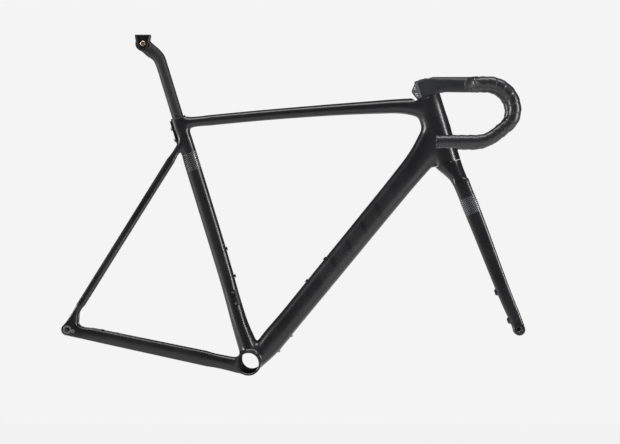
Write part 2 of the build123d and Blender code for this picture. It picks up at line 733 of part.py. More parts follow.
LEG_START_FORE = 0.45 * FORK_RAKE
LEG_SPAN = 2 * (TYRE_HALF_GAP + LEG_WIDTH)


def rounded_section(point, depth, width, radius):
    return across(point, HEAD_UP) * RectangleRounded(width, depth, radius)


def crown_outer():
    sections = [
        rounded_section(point, depth, width, depth * (0.46 if i == 0 else 0.4))
        for i, (point, depth, width) in enumerate(crown_stations())
    ]
    return loft(sections)


def steerer_solid():
    base = CROWN_SEAT - CROWN_GAP
    upright = head_disc(LOWER_LOW + BEARING_HEIGHT + 60, STEM_HEIGHT - 3, STEERER_RADIUS)
    upright += head_cone(
        LOWER_LOW + BEARING_HEIGHT, LOWER_LOW + BEARING_HEIGHT + 60, STEERER_BASE_RADIUS, STEERER_RADIUS
    )
    return upright + head_disc(base, LOWER_LOW + BEARING_HEIGHT, LOWER_BEARING_BORE - FIT)


def steerer_tube():
    """Tapered steerer tube, bonded into the crown."""
    hollow = head_disc(CROWN_SEAT - 20, STEM_HEIGHT + 10, STEERER_RADIUS - STEERER_WALL)
    return steerer_solid() - hollow


def fork_crown():
    """Crown with the wheel arch, the rear fairing and the crown race."""
    solid = crown_outer()
    solid -= lateral_rod(FRONT_AXLE, WHEEL_RADIUS, -TYRE_HALF_GAP, TYRE_HALF_GAP)
    seat = head_disc(CROWN_SEAT - CROWN_GAP, LOWER_LOW, LOWER_BEARING_BORE + RACE_THICKNESS)
    solid += seat - head_disc(CROWN_SEAT - CROWN_GAP - 2, LOWER_LOW + 2, LOWER_BEARING_BORE - FIT)
    return solid - head_disc(CROWN_SEAT - 40, CROWN_SEAT + 5, STEERER_RADIUS - STEERER_WALL)




def leg_stations(grow=0.0, low=0.0, high=1.0):
    """Sections of the left leg: shares of the length from the crown to the axle."""
    start = CROWN_SEAT - CROWN_GAP - CROWN_HEIGHT
    length = FORK_LENGTH - CROWN_GAP - CROWN_HEIGHT
    side_top = TYRE_HALF_GAP + LEG_WIDTH / 2
    side_tip = FRONT_SPACING / 2 + LEG_TIP_WIDTH / 2
    rows = [(0.0, 0.45), (0.23, 0.583), (0.4, 0.668), (0.745, 0.845), (0.93, 0.99), (LEG_END, 1.0)]
    sections = []
    for share, rake in rows:
        if share < low or share > high:
            continue
        depth = LEG_DEPTH + (LEG_TIP_DEPTH - LEG_DEPTH) * share / LEG_END
        width = LEG_WIDTH + (LEG_TIP_WIDTH - LEG_WIDTH) * share / LEG_END
        side = side_top + (side_tip - side_top) * share / LEG_END
        point = head_point(start - length * share, FORK_RAKE * rake, side)
        sections.append(rounded_section(point, depth + 2 * grow, width + 2 * grow, (width + 2 * grow) * 0.42))
    return sections


def brake_points():
    """Centres of the two brake bosses on the rear face of the left leg."""
    start = CROWN_SEAT - CROWN_GAP - CROWN_HEIGHT
    length = FORK_LENGTH - CROWN_GAP - CROWN_HEIGHT
    upper = start - length * 0.72
    side = TYRE_HALF_GAP + LEG_WIDTH / 2 + (FRONT_SPACING / 2 - TYRE_HALF_GAP - 4) * 0.72 / 0.93
    rear = FORK_RAKE * 0.83 - LEG_TIP_DEPTH / 2 - 5.0
    return [
        head_point(upper, rear, side),
        head_point(upper - BRAKE_SPACING, rear + 0.13 * FORK_RAKE, side + 2),
    ]


def fork_leg():
    """Left leg, hollow above the brake bosses, with the round axle end."""
    solid = loft(leg_stations()) - loft(leg_stations(grow=-LEG_WALL, high=0.45))
    low = FRONT_SPACING / 2
    solid += lateral_rod(FRONT_AXLE, DROPOUT_RADIUS, low, low + LEG_TIP_WIDTH)
    return solid


def fork_leg_left():
    solid = fork_leg()
    for point in brake_points():
        solid += rod(point, point + HEAD_FORE * 12, BRAKE_BOSS_RADIUS)
    for point in brake_points():
        solid -= rod(point - HEAD_FORE * 5, point + HEAD_FORE * 12, BRAKE_BOLT_RADIUS)
    return solid - lateral_rod(FRONT_AXLE, AXLE_INSERT_RADIUS, 0, 200)


def fork_leg_right():
    return mirrored(fork_leg() - lateral_rod(FRONT_AXLE, AXLE_INSERT_RADIUS, 0, 200))




def fork_axle_insert():
    """Metal ring bonded in the left fork tip."""
    low = FRONT_SPACING / 2
    ring = lateral_rod(FRONT_AXLE, AXLE_INSERT_RADIUS, low, low + LEG_TIP_WIDTH)
    return ring - lateral_rod(FRONT_AXLE, AXLE_BORE, 0, 200)


# ---------------------------------------------------------------- headset cover and preload
def compression_ring():
    """Split ring between the steerer and the upper bearing."""
    high = -COVER_HEIGHT
    return head_disc(UPPER_LOW, high, UPPER_BEARING_BORE) - head_disc(UPPER_LOW - 1, 1, STEERER_RADIUS)


def headset_cover():
    """Low cover between the head tube and the stem."""
    cover = head_cone(-COVER_HEIGHT, 0, HEAD_WIDTH_TOP / 2 - 0.5, HEAD_WIDTH_TOP / 2 - 2.5)
    return cover - head_disc(-COVER_HEIGHT - 1, 1, STEERER_RADIUS)




def expander_plug():
    """Expander inside the steerer, which the preload bolt pulls on."""
    high = STEM_HEIGHT - 4
    plug = head_disc(high - EXPANDER_LENGTH, high, STEERER_RADIUS - STEERER_WALL)
    return plug - head_disc(high - EXPANDER_LENGTH - 1, high + 1, PRELOAD_RADIUS)


def preload_bolt():
    """Bolt through the top cap into the expander."""
    high = STEM_HEIGHT + CAP_THICKNESS
    bolt = head_disc(STEM_HEIGHT - 30, high - 1.0, PRELOAD_RADIUS)
    bolt += head_disc(high - 1.0, high + 1.2, 4.6)
    return bolt - head_disc(high - 0.6, high + 5, 2.5)


def stem_top_cap():
    """Round cap on the stem."""
    cap = head_cone(STEM_HEIGHT, STEM_HEIGHT + CAP_THICKNESS, 15.5, 14.0)
    cap -= head_disc(STEM_HEIGHT - 1, STEM_HEIGHT + 5, PRELOAD_RADIUS)
    return cap - head_disc(STEM_HEIGHT + CAP_THICKNESS - 1.0, STEM_HEIGHT + 9, 4.6)


# ---------------------------------------------------------------- stem and handlebar
BAR_CENTRE = HEAD_TOP + Vector(STEM_REACH, 0, BAR_RISE)


def stem():
    """Stem: a split clamp on the steerer and an arm to the handlebar."""
    solid = head_disc(0, STEM_HEIGHT, STEM_CLAMP_RADIUS)
    ears = block(head_point(STEM_HEIGHT / 2, -21), HEAD_UP, 24, 16, STEM_HEIGHT - 6)
    solid += fillet(ears.edges().filter_by(lambda edge: edge.length > STEM_HEIGHT - 8), 5)
    arm = [(HEAD_TOP + Vector(4, 0, BAR_RISE), 38.0, STEM_ARM_DEPTH - 2)]
    arm += [(HEAD_TOP + Vector(50, 0, BAR_RISE), STEM_ARM_WIDTH - 4, STEM_ARM_DEPTH)]
    arm += [(BAR_CENTRE + Vector(2, 0, 0), STEM_ARM_WIDTH + 8, STEM_ARM_DEPTH)]
    arm += [(BAR_CENTRE + Vector(15, 0, 0), STEM_ARM_WIDTH + 2, STEM_ARM_DEPTH - 8)]
    solid += loft([across(point, (1, 0, 0)) * RectangleRounded(wide, deep, 11) for point, wide, deep in arm])
    solid -= head_disc(-1, STEM_HEIGHT + 5, STEERER_RADIUS + FIT)
    solid -= block(head_point(-50), HEAD_UP, 300, 300, 100)
    solid -= block(head_point(STEM_HEIGHT / 2, -25), HEAD_UP, 1.6, 30, STEM_HEIGHT + 20)
    for height in STEM_BOLT_HEIGHTS:
        solid -= lateral_rod(head_point(height, STEM_BOLT_REAR), 2.5, -30, 30)
    return solid - swept(bar_top_path(), BAR_RADIUS)


def stem_clamp_bolts():
    """Two bolts across the split of the stem clamp."""
    bolts = []
    for height in STEM_BOLT_HEIGHTS:
        point = head_point(height, STEM_BOLT_REAR)
        bolt = lateral_rod(point, 2.5, -12, 11) + lateral_rod(point, 4.0, -15.5, -12)
        bolts.append(bolt - lateral_rod(point, 2.0, -20, -13))
    return bolts


def bar_top_path():
    """Straight tops of the bar, between the ends of the tape."""
    half = Vector(0, TAPE_START, 0)
    return Polyline(BAR_CENTRE - half, BAR_CENTRE + half)


def bar_drop_path():
    """Left side of the bar, from where the tape starts to the bar end."""
    front = BAR_CENTRE.X + BAR_REACH
    top = BAR_CENTRE.Z
    bottom = top - BAR_DROP
    side = BAR_HALF_WIDTH
    corners = [
        Vector(BAR_CENTRE.X, TAPE_START, top),
        Vector(BAR_CENTRE.X, side, top),
        Vector(front, side, top),
        Vector(front, side, top - HOOK_SLANT_TOP),
        Vector(front - HOOK_SLANT_RUN, side, bottom),
        Vector(front - BAR_END_LENGTH, side, bottom),
    ]
    return FilletPolyline(*corners, radius=[BAR_BEND, HOOK_TOP_RADIUS, HOOK_FRONT_RADIUS, HOOK_LOW_RADIUS])


def swept(path, radius):
    """Round bar along a path."""
    start = path @ 0
    return sweep(Plane(origin=start, z_dir=path % 0) * Circle(radius), path=path)


def handlebar_top():
    path = bar_top_path()
    return swept(path, BAR_RADIUS) - swept(path, BAR_RADIUS - BAR_WALL)


def handlebar_drop():
    path = bar_drop_path()
    return swept(path, BAR_RADIUS) - swept(path, BAR_RADIUS - BAR_WALL)


def bar_tape():
    """Tape wound over the left side of the bar, from the tops to the bar end."""
    path = bar_drop_path()
    return swept(path, BAR_RADIUS + TAPE_THICKNESS) - swept(path, BAR_RADIUS)


def bar_end_plug():
    """Plug that closes the left bar end and holds the tape."""
    end = bar_drop_path() @ 1
    back = Vector(-1, 0, 0)
    plug = rod(end, end + back * 3.5, BAR_RADIUS + TAPE_THICKNESS - 0.6)
    return plug + rod(end - back * 18, end, BAR_RADIUS - BAR_WALL)


def finishing_tape():
    """Narrow bands that hold the inner ends of the tape."""
    path = bar_drop_path()
    start = path @ 0
    along = path % 0
    outer = BAR_RADIUS + TAPE_THICKNESS + 0.6
    band = rod(start + along * 1, start + along * 16, outer)
    band -= rod(start - along * 5, start + along * 30, BAR_RADIUS + TAPE_THICKNESS)
    return [band, mirrored(band)]


# ---------------------------------------------------------------- seatpost and saddle clamp
CLAMP_UP = SEAT_LENGTH + CLAMP_RISE
CLAMP_CENTRE = seat_point(CLAMP_UP, -POST_SETBACK)


def seatpost():
    """Seatpost: a straight tube, a forward-convex bend and a cross eye at the top."""
    low = SEAT_LENGTH - POST_INSERT
    bend = SEAT_LENGTH + POST_EXPOSED
    solid = rod(seat_point(low), seat_point(bend), POST_RADIUS)
    neck = [(seat_point(bend), SEAT_UP, 2 * POST_RADIUS), (seat_point(bend + 20, -5), SEAT_UP, 25)]
    lean = (SEAT_UP - SEAT_FORE * 0.8).normalized()
    neck += [(CLAMP_CENTRE - lean * 8, lean, 23)]
    solid += loft([across(point, direction) * Circle(width / 2) for point, direction, width in neck])
    solid += lateral_rod(CLAMP_CENTRE, HEAD_EYE_RADIUS, -CLAMP_HALF_WIDTH, CLAMP_HALF_WIDTH)
    solid -= rod(seat_point(low - 5), seat_point(bend), POST_RADIUS - WALL)
    return solid - lateral_rod(CLAMP_CENTRE, CLAMP_BOLT_RADIUS + RUNNING_GAP, -60, 60)


def clamp_frame(up, fore, side):
    """A point placed from the clamp's bolt axis, level with the ground."""
    return CLAMP_CENTRE + Vector(fore, side, up)


def rail_rod(side):
    """Space of a saddle rail, half in the ear and half in the cradle."""
    rail = clamp_frame(RAIL_RISE, 0, (CLAMP_HALF_WIDTH + RUNNING_GAP) * side)
    return rod(rail + Vector(-40, 0, 0), rail + Vector(40, 0, 0), RAIL_RADIUS)


def saddle_ear(side):
    """Outer clamp ear: wide at the rails and narrow below."""
    low = CLAMP_HALF_WIDTH + RUNNING_GAP
    outline = [
        clamp_frame(CLAMP_RADIUS + 3, -18, 0),
        clamp_frame(CLAMP_RADIUS + 3, 18, 0),
        clamp_frame(CLAMP_RADIUS - 7, 17, 0),
        clamp_frame(-CLAMP_RADIUS + 2, 9, 0),
        clamp_frame(-CLAMP_RADIUS + 2, -9, 0),
        clamp_frame(CLAMP_RADIUS - 7, -17, 0),
    ]
    ear = side_plate(outline, low, low + EAR_THICKNESS)
    ear -= rail_rod(1)
    ear -= lateral_rod(CLAMP_CENTRE, CLAMP_BOLT_RADIUS, -60, 60)
    return ear if side > 0 else mirrored(ear)


def saddle_clamp_bolt():
    """Cross bolt with a socket head on the right."""
    out = CLAMP_HALF_WIDTH + RUNNING_GAP + EAR_THICKNESS
    bolt = lateral_rod(CLAMP_CENTRE, CLAMP_BOLT_RADIUS, -out, out + 1)
    bolt += lateral_rod(CLAMP_CENTRE, 5.7, -out - 4, -out)
    return bolt - lateral_rod(CLAMP_CENTRE, 2.6, -out - 9, -out - 1)


def saddle_clamp_nut():
    """Barrel nut on the left end of the cross bolt."""
    out = CLAMP_HALF_WIDTH + RUNNING_GAP + EAR_THICKNESS
    nut = lateral_rod(CLAMP_CENTRE, 5.7, out, out + 4)
    return nut - lateral_rod(CLAMP_CENTRE, CLAMP_BOLT_RADIUS, -60, 60)


def saddle_cradle():
    """Cradle bridge over the seatpost eye, between the ears, that carries the rails."""
    gap = HEAD_EYE_RADIUS + RUNNING_GAP
    arch = lateral_rod(CLAMP_CENTRE, gap + CRADLE_WALL, -CLAMP_HALF_WIDTH - RUNNING_GAP, CLAMP_HALF_WIDTH + RUNNING_GAP)
    arch -= lateral_rod(CLAMP_CENTRE, gap, -60, 60)
    upper = block(clamp_frame(CRADLE_EDGE + 15, 0, 0), Vector(0, 0, 1), 90, 60, 30)
    cradle = arch & upper
    for side in (-1, 1):
        cradle -= rail_rod(side)
    return cradle


def build():
    """All sub-parts by node name."""
    left_leg = fork_leg_left()
    left_stay = seatstay()
    drop = handlebar_drop()
    tape = bar_tape()
    plug = bar_end_plug()
    return {
        "head_tube": head_tube(),
        "top_tube": top_tube(),
        "down_tube": down_tube(),
        "seat_tube": seat_tube(),
        "bb_shell": bb_shell(),
        "chainstay_left": chainstay_left(),
        "chainstay_right": mirrored(chainstay()),
        "seatstay_left": left_stay,
        "seatstay_right": mirrored(left_stay),
        "dropout_left": dropout_left(),
        "dropout_right": dropout_right(),
        "hanger_insert": hanger_insert(),
        "hanger_screw": hanger_screw(),
        "rear_brake_inserts": rear_brake_inserts(),
        "upper_bearing_outer_race": upper_bearing_outer_race(),
        "lower_bearing_outer_race": lower_bearing_outer_race(),
        "seat_clamp_plate": seat_clamp_plate(),
        "seat_clamp_pad": seat_clamp_pad(),
        "seat_clamp_bolts": seat_clamp_bolts(),
        "seatpost_gasket": seatpost_gasket(),
        "derailleur_cover": derailleur_cover(),
        "derailleur_cover_screws": derailleur_cover_screws(),
        "seat_tube_grommet": seat_tube_grommet(),
        "down_tube_port_cover": down_tube_port_cover(),
        "port_screws": port_screws(),
        "bottle_bolts": bottle_bolts(),
        "head_badge": head_badge(),
        "upper_ball_cage": ball_cage(UPPER_LOW, UPPER_PITCH, UPPER_BALL_RADIUS),
        "lower_ball_cage": ball_cage(LOWER_LOW, LOWER_PITCH, LOWER_BALL_RADIUS),
        "steerer_tube": steerer_tube(),
        "fork_crown": fork_crown(),
        "fork_leg_left": left_leg,
        "fork_leg_right": fork_leg_right(),
        "fork_axle_insert_left": fork_axle_insert(),
        "fork_axle_insert_right": mirrored(fork_axle_insert()),
        "upper_bearing_inner_race": upper_bearing_inner_race(),
        "lower_bearing_inner_race": lower_bearing_inner_race(),
        "compression_ring": compression_ring(),
        "headset_cover": headset_cover(),
        "expander_plug": expander_plug(),
        "preload_bolt": preload_bolt(),
        "stem": stem(),
        "stem_clamp_bolts": stem_clamp_bolts(),
        "stem_top_cap": stem_top_cap(),
        "handlebar_top": handlebar_top(),
        "handlebar_drop_left": drop,
        "handlebar_drop_right": mirrored(drop),
        "bar_tape_left": tape,
        "bar_tape_right": mirrored(tape),
        "finishing_tape": finishing_tape(),
        "bar_end_plug_left": plug,
        "bar_end_plug_right": mirrored(plug),
        "seatpost": seatpost(),
        "saddle_ear_left": saddle_ear(1),
        "saddle_ear_right": saddle_ear(-1),
        "saddle_clamp_bolt": saddle_clamp_bolt(),
        "saddle_clamp_nut": saddle_clamp_nut(),
        "saddle_cradle": saddle_cradle(),
    }


os.makedirs("parts", exist_ok=True)
for name, shape in build().items():
    pieces = shape if isinstance(shape, list) else [shape]
    solids = [solid for piece in pieces for solid in piece.solids()]
    whole = solids[0] if len(solids) == 1 else Compound(children=solids)
    export_step(whole, os.path.join("parts", f"{name}.step"))
    print(f"{name}: {len(solids)} solid(s), {sum(s.volume for s in solids):.0f} mm3")
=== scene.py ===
import json
import logging
import math
from dataclasses import dataclass, field
from enum import Enum
from typing import Callable, Iterable, Sequence

import bmesh
import bpy
from mathutils import Matrix, Vector

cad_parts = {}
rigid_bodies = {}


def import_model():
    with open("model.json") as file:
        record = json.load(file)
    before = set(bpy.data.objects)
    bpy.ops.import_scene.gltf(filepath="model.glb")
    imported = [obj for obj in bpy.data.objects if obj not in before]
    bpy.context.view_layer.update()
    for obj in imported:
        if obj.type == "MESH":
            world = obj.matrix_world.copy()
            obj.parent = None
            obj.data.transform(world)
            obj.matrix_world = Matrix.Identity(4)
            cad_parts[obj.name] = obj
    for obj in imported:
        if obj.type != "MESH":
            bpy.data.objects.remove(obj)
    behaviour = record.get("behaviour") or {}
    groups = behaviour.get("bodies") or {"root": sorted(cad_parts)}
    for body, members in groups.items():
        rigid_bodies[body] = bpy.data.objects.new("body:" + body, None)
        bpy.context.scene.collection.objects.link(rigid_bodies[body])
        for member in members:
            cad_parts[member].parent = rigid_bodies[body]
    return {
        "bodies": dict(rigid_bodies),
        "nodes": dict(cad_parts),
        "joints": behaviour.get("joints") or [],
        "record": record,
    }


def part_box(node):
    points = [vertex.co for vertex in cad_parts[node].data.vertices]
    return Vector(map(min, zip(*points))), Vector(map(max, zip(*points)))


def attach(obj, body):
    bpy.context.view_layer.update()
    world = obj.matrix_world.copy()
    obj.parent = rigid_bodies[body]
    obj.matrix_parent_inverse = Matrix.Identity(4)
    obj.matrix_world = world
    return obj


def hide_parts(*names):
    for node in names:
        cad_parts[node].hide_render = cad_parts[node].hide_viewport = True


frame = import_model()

LOG = logging.getLogger("bicycle_frame")
SIDE = Vector((0, 1, 0))
UP = Vector((0, 0, 1))
FORE = Vector((1, 0, 0))
DOWN_START = Vector((0.0131, 0, 0))   # where the down tube's axis passes the shell
DOWN_RISE = 0.060                     # the down tube's upper end above the crown seat
BEARING_RISE = 0.005                  # the lower bearing's centre above the crown seat
PAST_ALL = 0.2                        # half length of a cutter that runs past the whole width


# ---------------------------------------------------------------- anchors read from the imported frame
@dataclass(frozen=True)
class Anchors:
    """Points and directions of the bicycle that every sub-assembly is placed from."""

    head_top: Vector
    head_up: Vector
    crown_seat: float
    collar: Vector
    seat_up: Vector
    rear_axle: Vector
    front_axle: Vector
    shell_half: float
    clamp: Vector

    @classmethod
    def from_frame(cls, packed: dict) -> "Anchors":
        """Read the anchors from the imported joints, mounts and node boxes.


        Returns:
            The anchors, in metres.
        """
        joints = {joint["name"]: joint for joint in packed["joints"]}
        mounts = {mount["name"]: mount for mount in packed["record"]["mounts"]}
        gasket_low, gasket_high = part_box("seatpost_gasket")
        shell_low, shell_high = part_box("bb_shell")
        head_top = Vector(joints["steering"]["pos_m"])
        head_up = Vector(joints["steering"]["axis"]).normalized()
        lower_bearing = Vector(joints["lower_bearing_cage"]["pos_m"])
        return cls(
            head_top=head_top,
            head_up=head_up,
            crown_seat=(lower_bearing - head_top).dot(head_up) - BEARING_RISE,
            collar=(gasket_low + gasket_high) / 2,
            seat_up=Vector(joints["seatpost_slide"]["axis"]).normalized(),
            rear_axle=Vector(mounts["rear_axle"]["pos_m"]),
            front_axle=Vector(mounts["front_axle"]["pos_m"]),
            shell_half=(shell_high.y - shell_low.y) / 2,
            clamp=Vector(joints["saddle_clamp_tilt"]["pos_m"]),
        )

    @property
    def head_fore(self) -> Vector:
        """Forward direction square to the steering axis."""
        return SIDE.cross(self.head_up)

    @property
    def seat_fore(self) -> Vector:
        """Forward direction square to the seat axis."""
        return SIDE.cross(self.seat_up)

    def head(self, up: float, fore: float = 0.0, side: float = 0.0) -> Vector:
        """Point given along, ahead of and beside the steering axis."""
        return self.head_top + self.head_up * up + self.head_fore * fore + SIDE * side

    def seat(self, up: float, fore: float = 0.0, side: float = 0.0) -> Vector:
        """Point given along, ahead of and beside the seat axis, from the collar."""
        return self.collar + self.seat_up * up + self.seat_fore * fore + SIDE * side


# ---------------------------------------------------------------- mesh tools
class Side(Enum):
    """Side of the bicycle, as the rider sees it."""

    LEFT = 1
    RIGHT = -1

    @property
    def label(self) -> str:
        """Name as used in the node names."""
        return self.name.lower()


@dataclass(frozen=True)
class Section:
    """One cross-section of a tube.

    A squareness of 2 is an oval, and a larger one is a rounded rectangle.
    """

    centre: Vector
    along: Vector
    width: float
    depth: float
    squareness: float = 2.0


def curve_through(a, b, c, d, t: float):
    """Value between b and c on the smooth curve through four values or points.

    Args:
        a: Value before the stretch.
        b: Value at its start.
        c: Value at its end.
        d: Value after it.
        t: Share of the way from b to c.

    Returns:
        The value, of the same type as the four.
    """
    return 0.5 * ((2 * b) + (c - a) * t + (2 * a - 5 * b + 4 * c - d) * t**2 + (3 * b - a - 3 * c + d) * t**3)


@dataclass
class Loft:
    """A smooth tube through cross-sections."""

    sections: Sequence[Section]
    marks: list[float] = field(init=False)

    def __post_init__(self) -> None:
        """Measure how far along the tube each section stands."""
        self.marks = [0.0]
        for low, high in zip(self.sections, self.sections[1:]):
            self.marks.append(self.marks[-1] + (high.centre - low.centre).length)

    def section(self, share: float) -> Section:
        """Section at a share of the tube's length.

        Args:
            share: From 0 at the first section to 1 at the last.

        Returns:
            The interpolated section.
        """
        place = min(max(share, 0.0), 1.0) * self.marks[-1]
        last = len(self.sections) - 1
        i = next((k for k in range(last) if place <= self.marks[k + 1]), last - 1)
        t = (place - self.marks[i]) / (self.marks[i + 1] - self.marks[i])
        four = [self.sections[min(max(k, 0), last)] for k in (i - 1, i, i + 1, i + 2)]
        mixed = [
            curve_through(*(getattr(one, name) for one in four), t)
            for name in ("centre", "along", "width", "depth", "squareness")
        ]
        return Section(mixed[0], mixed[1].normalized(), *mixed[2:])

    def point(self, share: float, turn: float) -> Vector:
        """Surface point at a share of the length and a share of a turn."""
        one = self.section(share)
        power = 2.0 / one.squareness
        c, s = math.cos(turn * math.tau), math.sin(turn * math.tau)
        side = (SIDE - one.along * SIDE.dot(one.along)).normalized()
        rise = one.along.cross(side)
        across = math.copysign(abs(c) ** power, c) * one.width / 2
        return one.centre + side * across + rise * (math.copysign(abs(s) ** power, s) * one.depth / 2)


def wrap_grid(rows: int, columns: int, place: Callable[[float, float], Vector]) -> bmesh.types.BMesh:
    """Roll a grid into a closed tube and cap both ends.

    Args:
        rows: Number of rings along the tube.
        columns: Number of points round it.
        place: Surface point for a share of the length and a share of a turn.

    Returns:
        The closed tube.
    """
    bm = bmesh.new()
    bmesh.ops.create_grid(bm, x_segments=rows, y_segments=columns, size=1.0)
    for vert in bm.verts:
        vert.co = place((vert.co.x + 1) / 2, (vert.co.y + 1) / 2)
    bmesh.ops.remove_doubles(bm, verts=bm.verts, dist=1e-6)
    rims = [edge for edge in bm.edges if edge.is_boundary]
    bmesh.ops.holes_fill(bm, edges=rims, sides=0)
    bmesh.ops.recalc_face_normals(bm, faces=bm.faces)
    return bm


def loft_mesh(sections: Sequence[Section], rows: int = 40, columns: int = 40) -> bmesh.types.BMesh:
    """Closed tube through cross-sections."""
    return wrap_grid(rows, columns, Loft(sections).point)


def along_matrix(start: Vector, axis: Vector) -> Matrix:
    """Place whose Z runs along an axis from a start point."""
    return Matrix.Translation(start) @ axis.to_track_quat("Z", "Y").to_matrix().to_4x4()


def rod_mesh(
    start: Vector, end: Vector, radius: float, segments: int = 48, tip: float | None = None
) -> bmesh.types.BMesh:
    """Round rod between two points, or a cone where the radius of its tip is given."""
    bm = bmesh.new()
    axis = end - start
    place = along_matrix(start, axis) @ Matrix.Translation((0, 0, axis.length / 2))
    bmesh.ops.create_cone(
        bm,
        cap_ends=True,
        segments=segments,
        radius1=radius,
        radius2=radius if tip is None else tip,
        depth=axis.length,
        matrix=place,
    )
    return bm


def block_mesh(
    centre: Vector, along: Vector, width: float, depth: float, length: float
) -> bmesh.types.BMesh:
    """Block with its length along a direction and its width along the bicycle's side."""
    bm = bmesh.new()
    side = (SIDE - along * SIDE.dot(along)).normalized()
    turn = Matrix((side, along.cross(side), along)).transposed().to_4x4()
    sizes = Matrix.Diagonal((width, depth, length, 1))
    bmesh.ops.create_cube(bm, size=1.0, matrix=Matrix.Translation(centre) @ turn @ sizes)
    return bm


def plate_mesh(outline: Sequence[Vector], low: float, high: float) -> bmesh.types.BMesh:
    """Plate from a side-view outline, between two side positions."""
    bm = bmesh.new()
    face = bm.faces.new([bm.verts.new((point.x, low, point.z)) for point in outline])
    made = bmesh.ops.extrude_face_region(bm, geom=[face])
    moved = [item for item in made["geom"] if isinstance(item, bmesh.types.BMVert)]
    bmesh.ops.translate(bm, verts=moved, vec=(0, high - low, 0))
    bmesh.ops.recalc_face_normals(bm, faces=bm.faces)
    return bm


def turned_mesh(
    start: Vector, axis: Vector, profile: Sequence[tuple[float, float]], steps: int = 48
) -> bmesh.types.BMesh:
    """Turned part from a profile of (radius, distance along the axis).

    Args:
        start: Point on the axis that distances are measured from.
        axis: Direction of the axis.
        profile: Corners of the half section, in order.
        steps: Number of steps in a turn.

    Returns:
        The turned part, closed if its profile starts and ends on the axis or at the same corner.
    """
    bm = bmesh.new()
    place = along_matrix(start, axis)
    verts = [bm.verts.new(place @ Vector((radius, 0, height))) for radius, height in profile]
    edges = [bm.edges.new(pair) for pair in zip(verts, verts[1:])]
    bmesh.ops.spin(
        bm,
        geom=verts + edges,
        cent=start,
        axis=axis.normalized(),
        dvec=(0, 0, 0),
        angle=math.tau,
        steps=steps,
        use_merge=True,
        use_duplicate=False,
    )
    bmesh.ops.remove_doubles(bm, verts=bm.verts, dist=1e-6)
    bmesh.ops.recalc_face_normals(bm, faces=bm.faces)
    return bm


def ring_profile(
    inner: float, outer: float, low: float, high: float, edge: float
) -> list[tuple[float, float]]:
    """Closed half section of a ring with chamfered edges."""
    corners = [(inner, low + edge), (inner, high - edge), (inner + edge, high), (outer - edge, high)]
    corners += [(outer, high - edge), (outer, low + edge), (outer - edge, low), (inner + edge, low)]
    return corners + corners[:1]


def joined(parts: Iterable[bmesh.types.BMesh]) -> bmesh.types.BMesh:
    """One bmesh from several, which are freed."""
    whole = bmesh.new()
    for part in parts:
        spare = bpy.data.meshes.new("spare")
        part.to_mesh(spare)
        part.free()
        whole.from_mesh(spare)
        bpy.data.meshes.remove(spare)
    return whole


def mirrored(bm: bmesh.types.BMesh) -> bmesh.types.BMesh:
    """Copy on the other side of the bicycle, with its faces still pointing out."""
    other = bm.copy()
    bmesh.ops.scale(other, vec=(1, -1, 1), verts=other.verts)
    bmesh.ops.reverse_faces(other, faces=other.faces)
    return other


def bevelled(bm: bmesh.types.BMesh, width: float, segments: int = 2, sharp: float = 0.6) -> bmesh.types.BMesh:
    """Round the sharp edges of a bmesh."""
    edges = [edge for edge in bm.edges if len(edge.link_faces) == 2 and edge.calc_face_angle(0) > sharp]
    bmesh.ops.bevel(
        bm,
        geom=edges,
        offset=width,
        segments=segments,
        profile=0.5,
        affect="EDGES",
        material=-1,
        clamp_overlap=True,
    )
    return bm


def mark_sharp(bm: bmesh.types.BMesh, angle: float) -> None:
    """Shade a bmesh smooth, apart from the edges that turn by more than an angle."""
    for face in bm.faces:
        face.smooth = True
    for edge in bm.edges:
        edge.smooth = len(edge.link_faces) != 2 or edge.calc_face_angle(0) < angle


def add_object(name: str, bm: bmesh.types.BMesh, smooth: float = 0.7) -> bpy.types.Object:
    """Link a bmesh to the scene as an object, shaded smooth below an edge angle.

    Args:
        name: The piece's name.
        bm: Its mesh, which is freed.
        smooth: Edges that turn by more than this, in radians, stay sharp.

    Returns:
        The new object.
    """
    mark_sharp(bm, smooth)
    mesh = bpy.data.meshes.new(name)
    bm.to_mesh(mesh)
    bm.free()
    piece = bpy.data.objects.new(name, mesh)
    bpy.context.scene.collection.objects.link(piece)
    return piece


def settle(piece: bpy.types.Object) -> None:
    """Apply a piece's modifiers to its mesh."""
    graph = bpy.context.evaluated_depsgraph_get()
    mesh = bpy.data.meshes.new_from_object(piece.evaluated_get(graph))
    old = piece.data
    piece.modifiers.clear()
    piece.data = mesh
    bpy.data.meshes.remove(old)


def carve(piece: bpy.types.Object, cutters: Iterable[bmesh.types.BMesh]) -> None:
    """Cut several closed shapes out of a piece."""
    for cutter in cutters:
        tool = add_object("cutter", cutter)
        cut = piece.modifiers.new("cut", "BOOLEAN")
        cut.operation = "DIFFERENCE"
        cut.solver = "MANIFOLD"
        cut.object = tool
        settle(piece)
        bpy.data.objects.remove(tool)


def sharpen(piece: bpy.types.Object, angle: float = 0.7) -> None:
    """Shade a piece smooth, apart from the edges that turn sharply."""
    bm = bmesh.new()
    bm.from_mesh(piece.data)
    mark_sharp(bm, angle)
    bm.to_mesh(piece.data)
    bm.free()


def taken(piece: bpy.types.Object) -> bmesh.types.BMesh:
    """Mesh of an object, which is removed."""
    bm = bmesh.new()
    bm.from_mesh(piece.data)
    bpy.data.objects.remove(piece)
    return bm


@dataclass(frozen=True)
class SoftZone:
    """A junction that is smoothed into a fillet: its centre, reach, strength and how fast it fades."""

    centre: Vector
    reach: float
    strength: float = 1.0
    fade: float = 2.2

    def weight(self, point: Vector) -> float:
        """How strongly a point is smoothed: most in the middle, nothing beyond the reach."""
        inside = 1.0 - (point - self.centre).length / self.reach
        return self.strength * min(1.0, self.fade * inside) if inside > 0 else 0.0


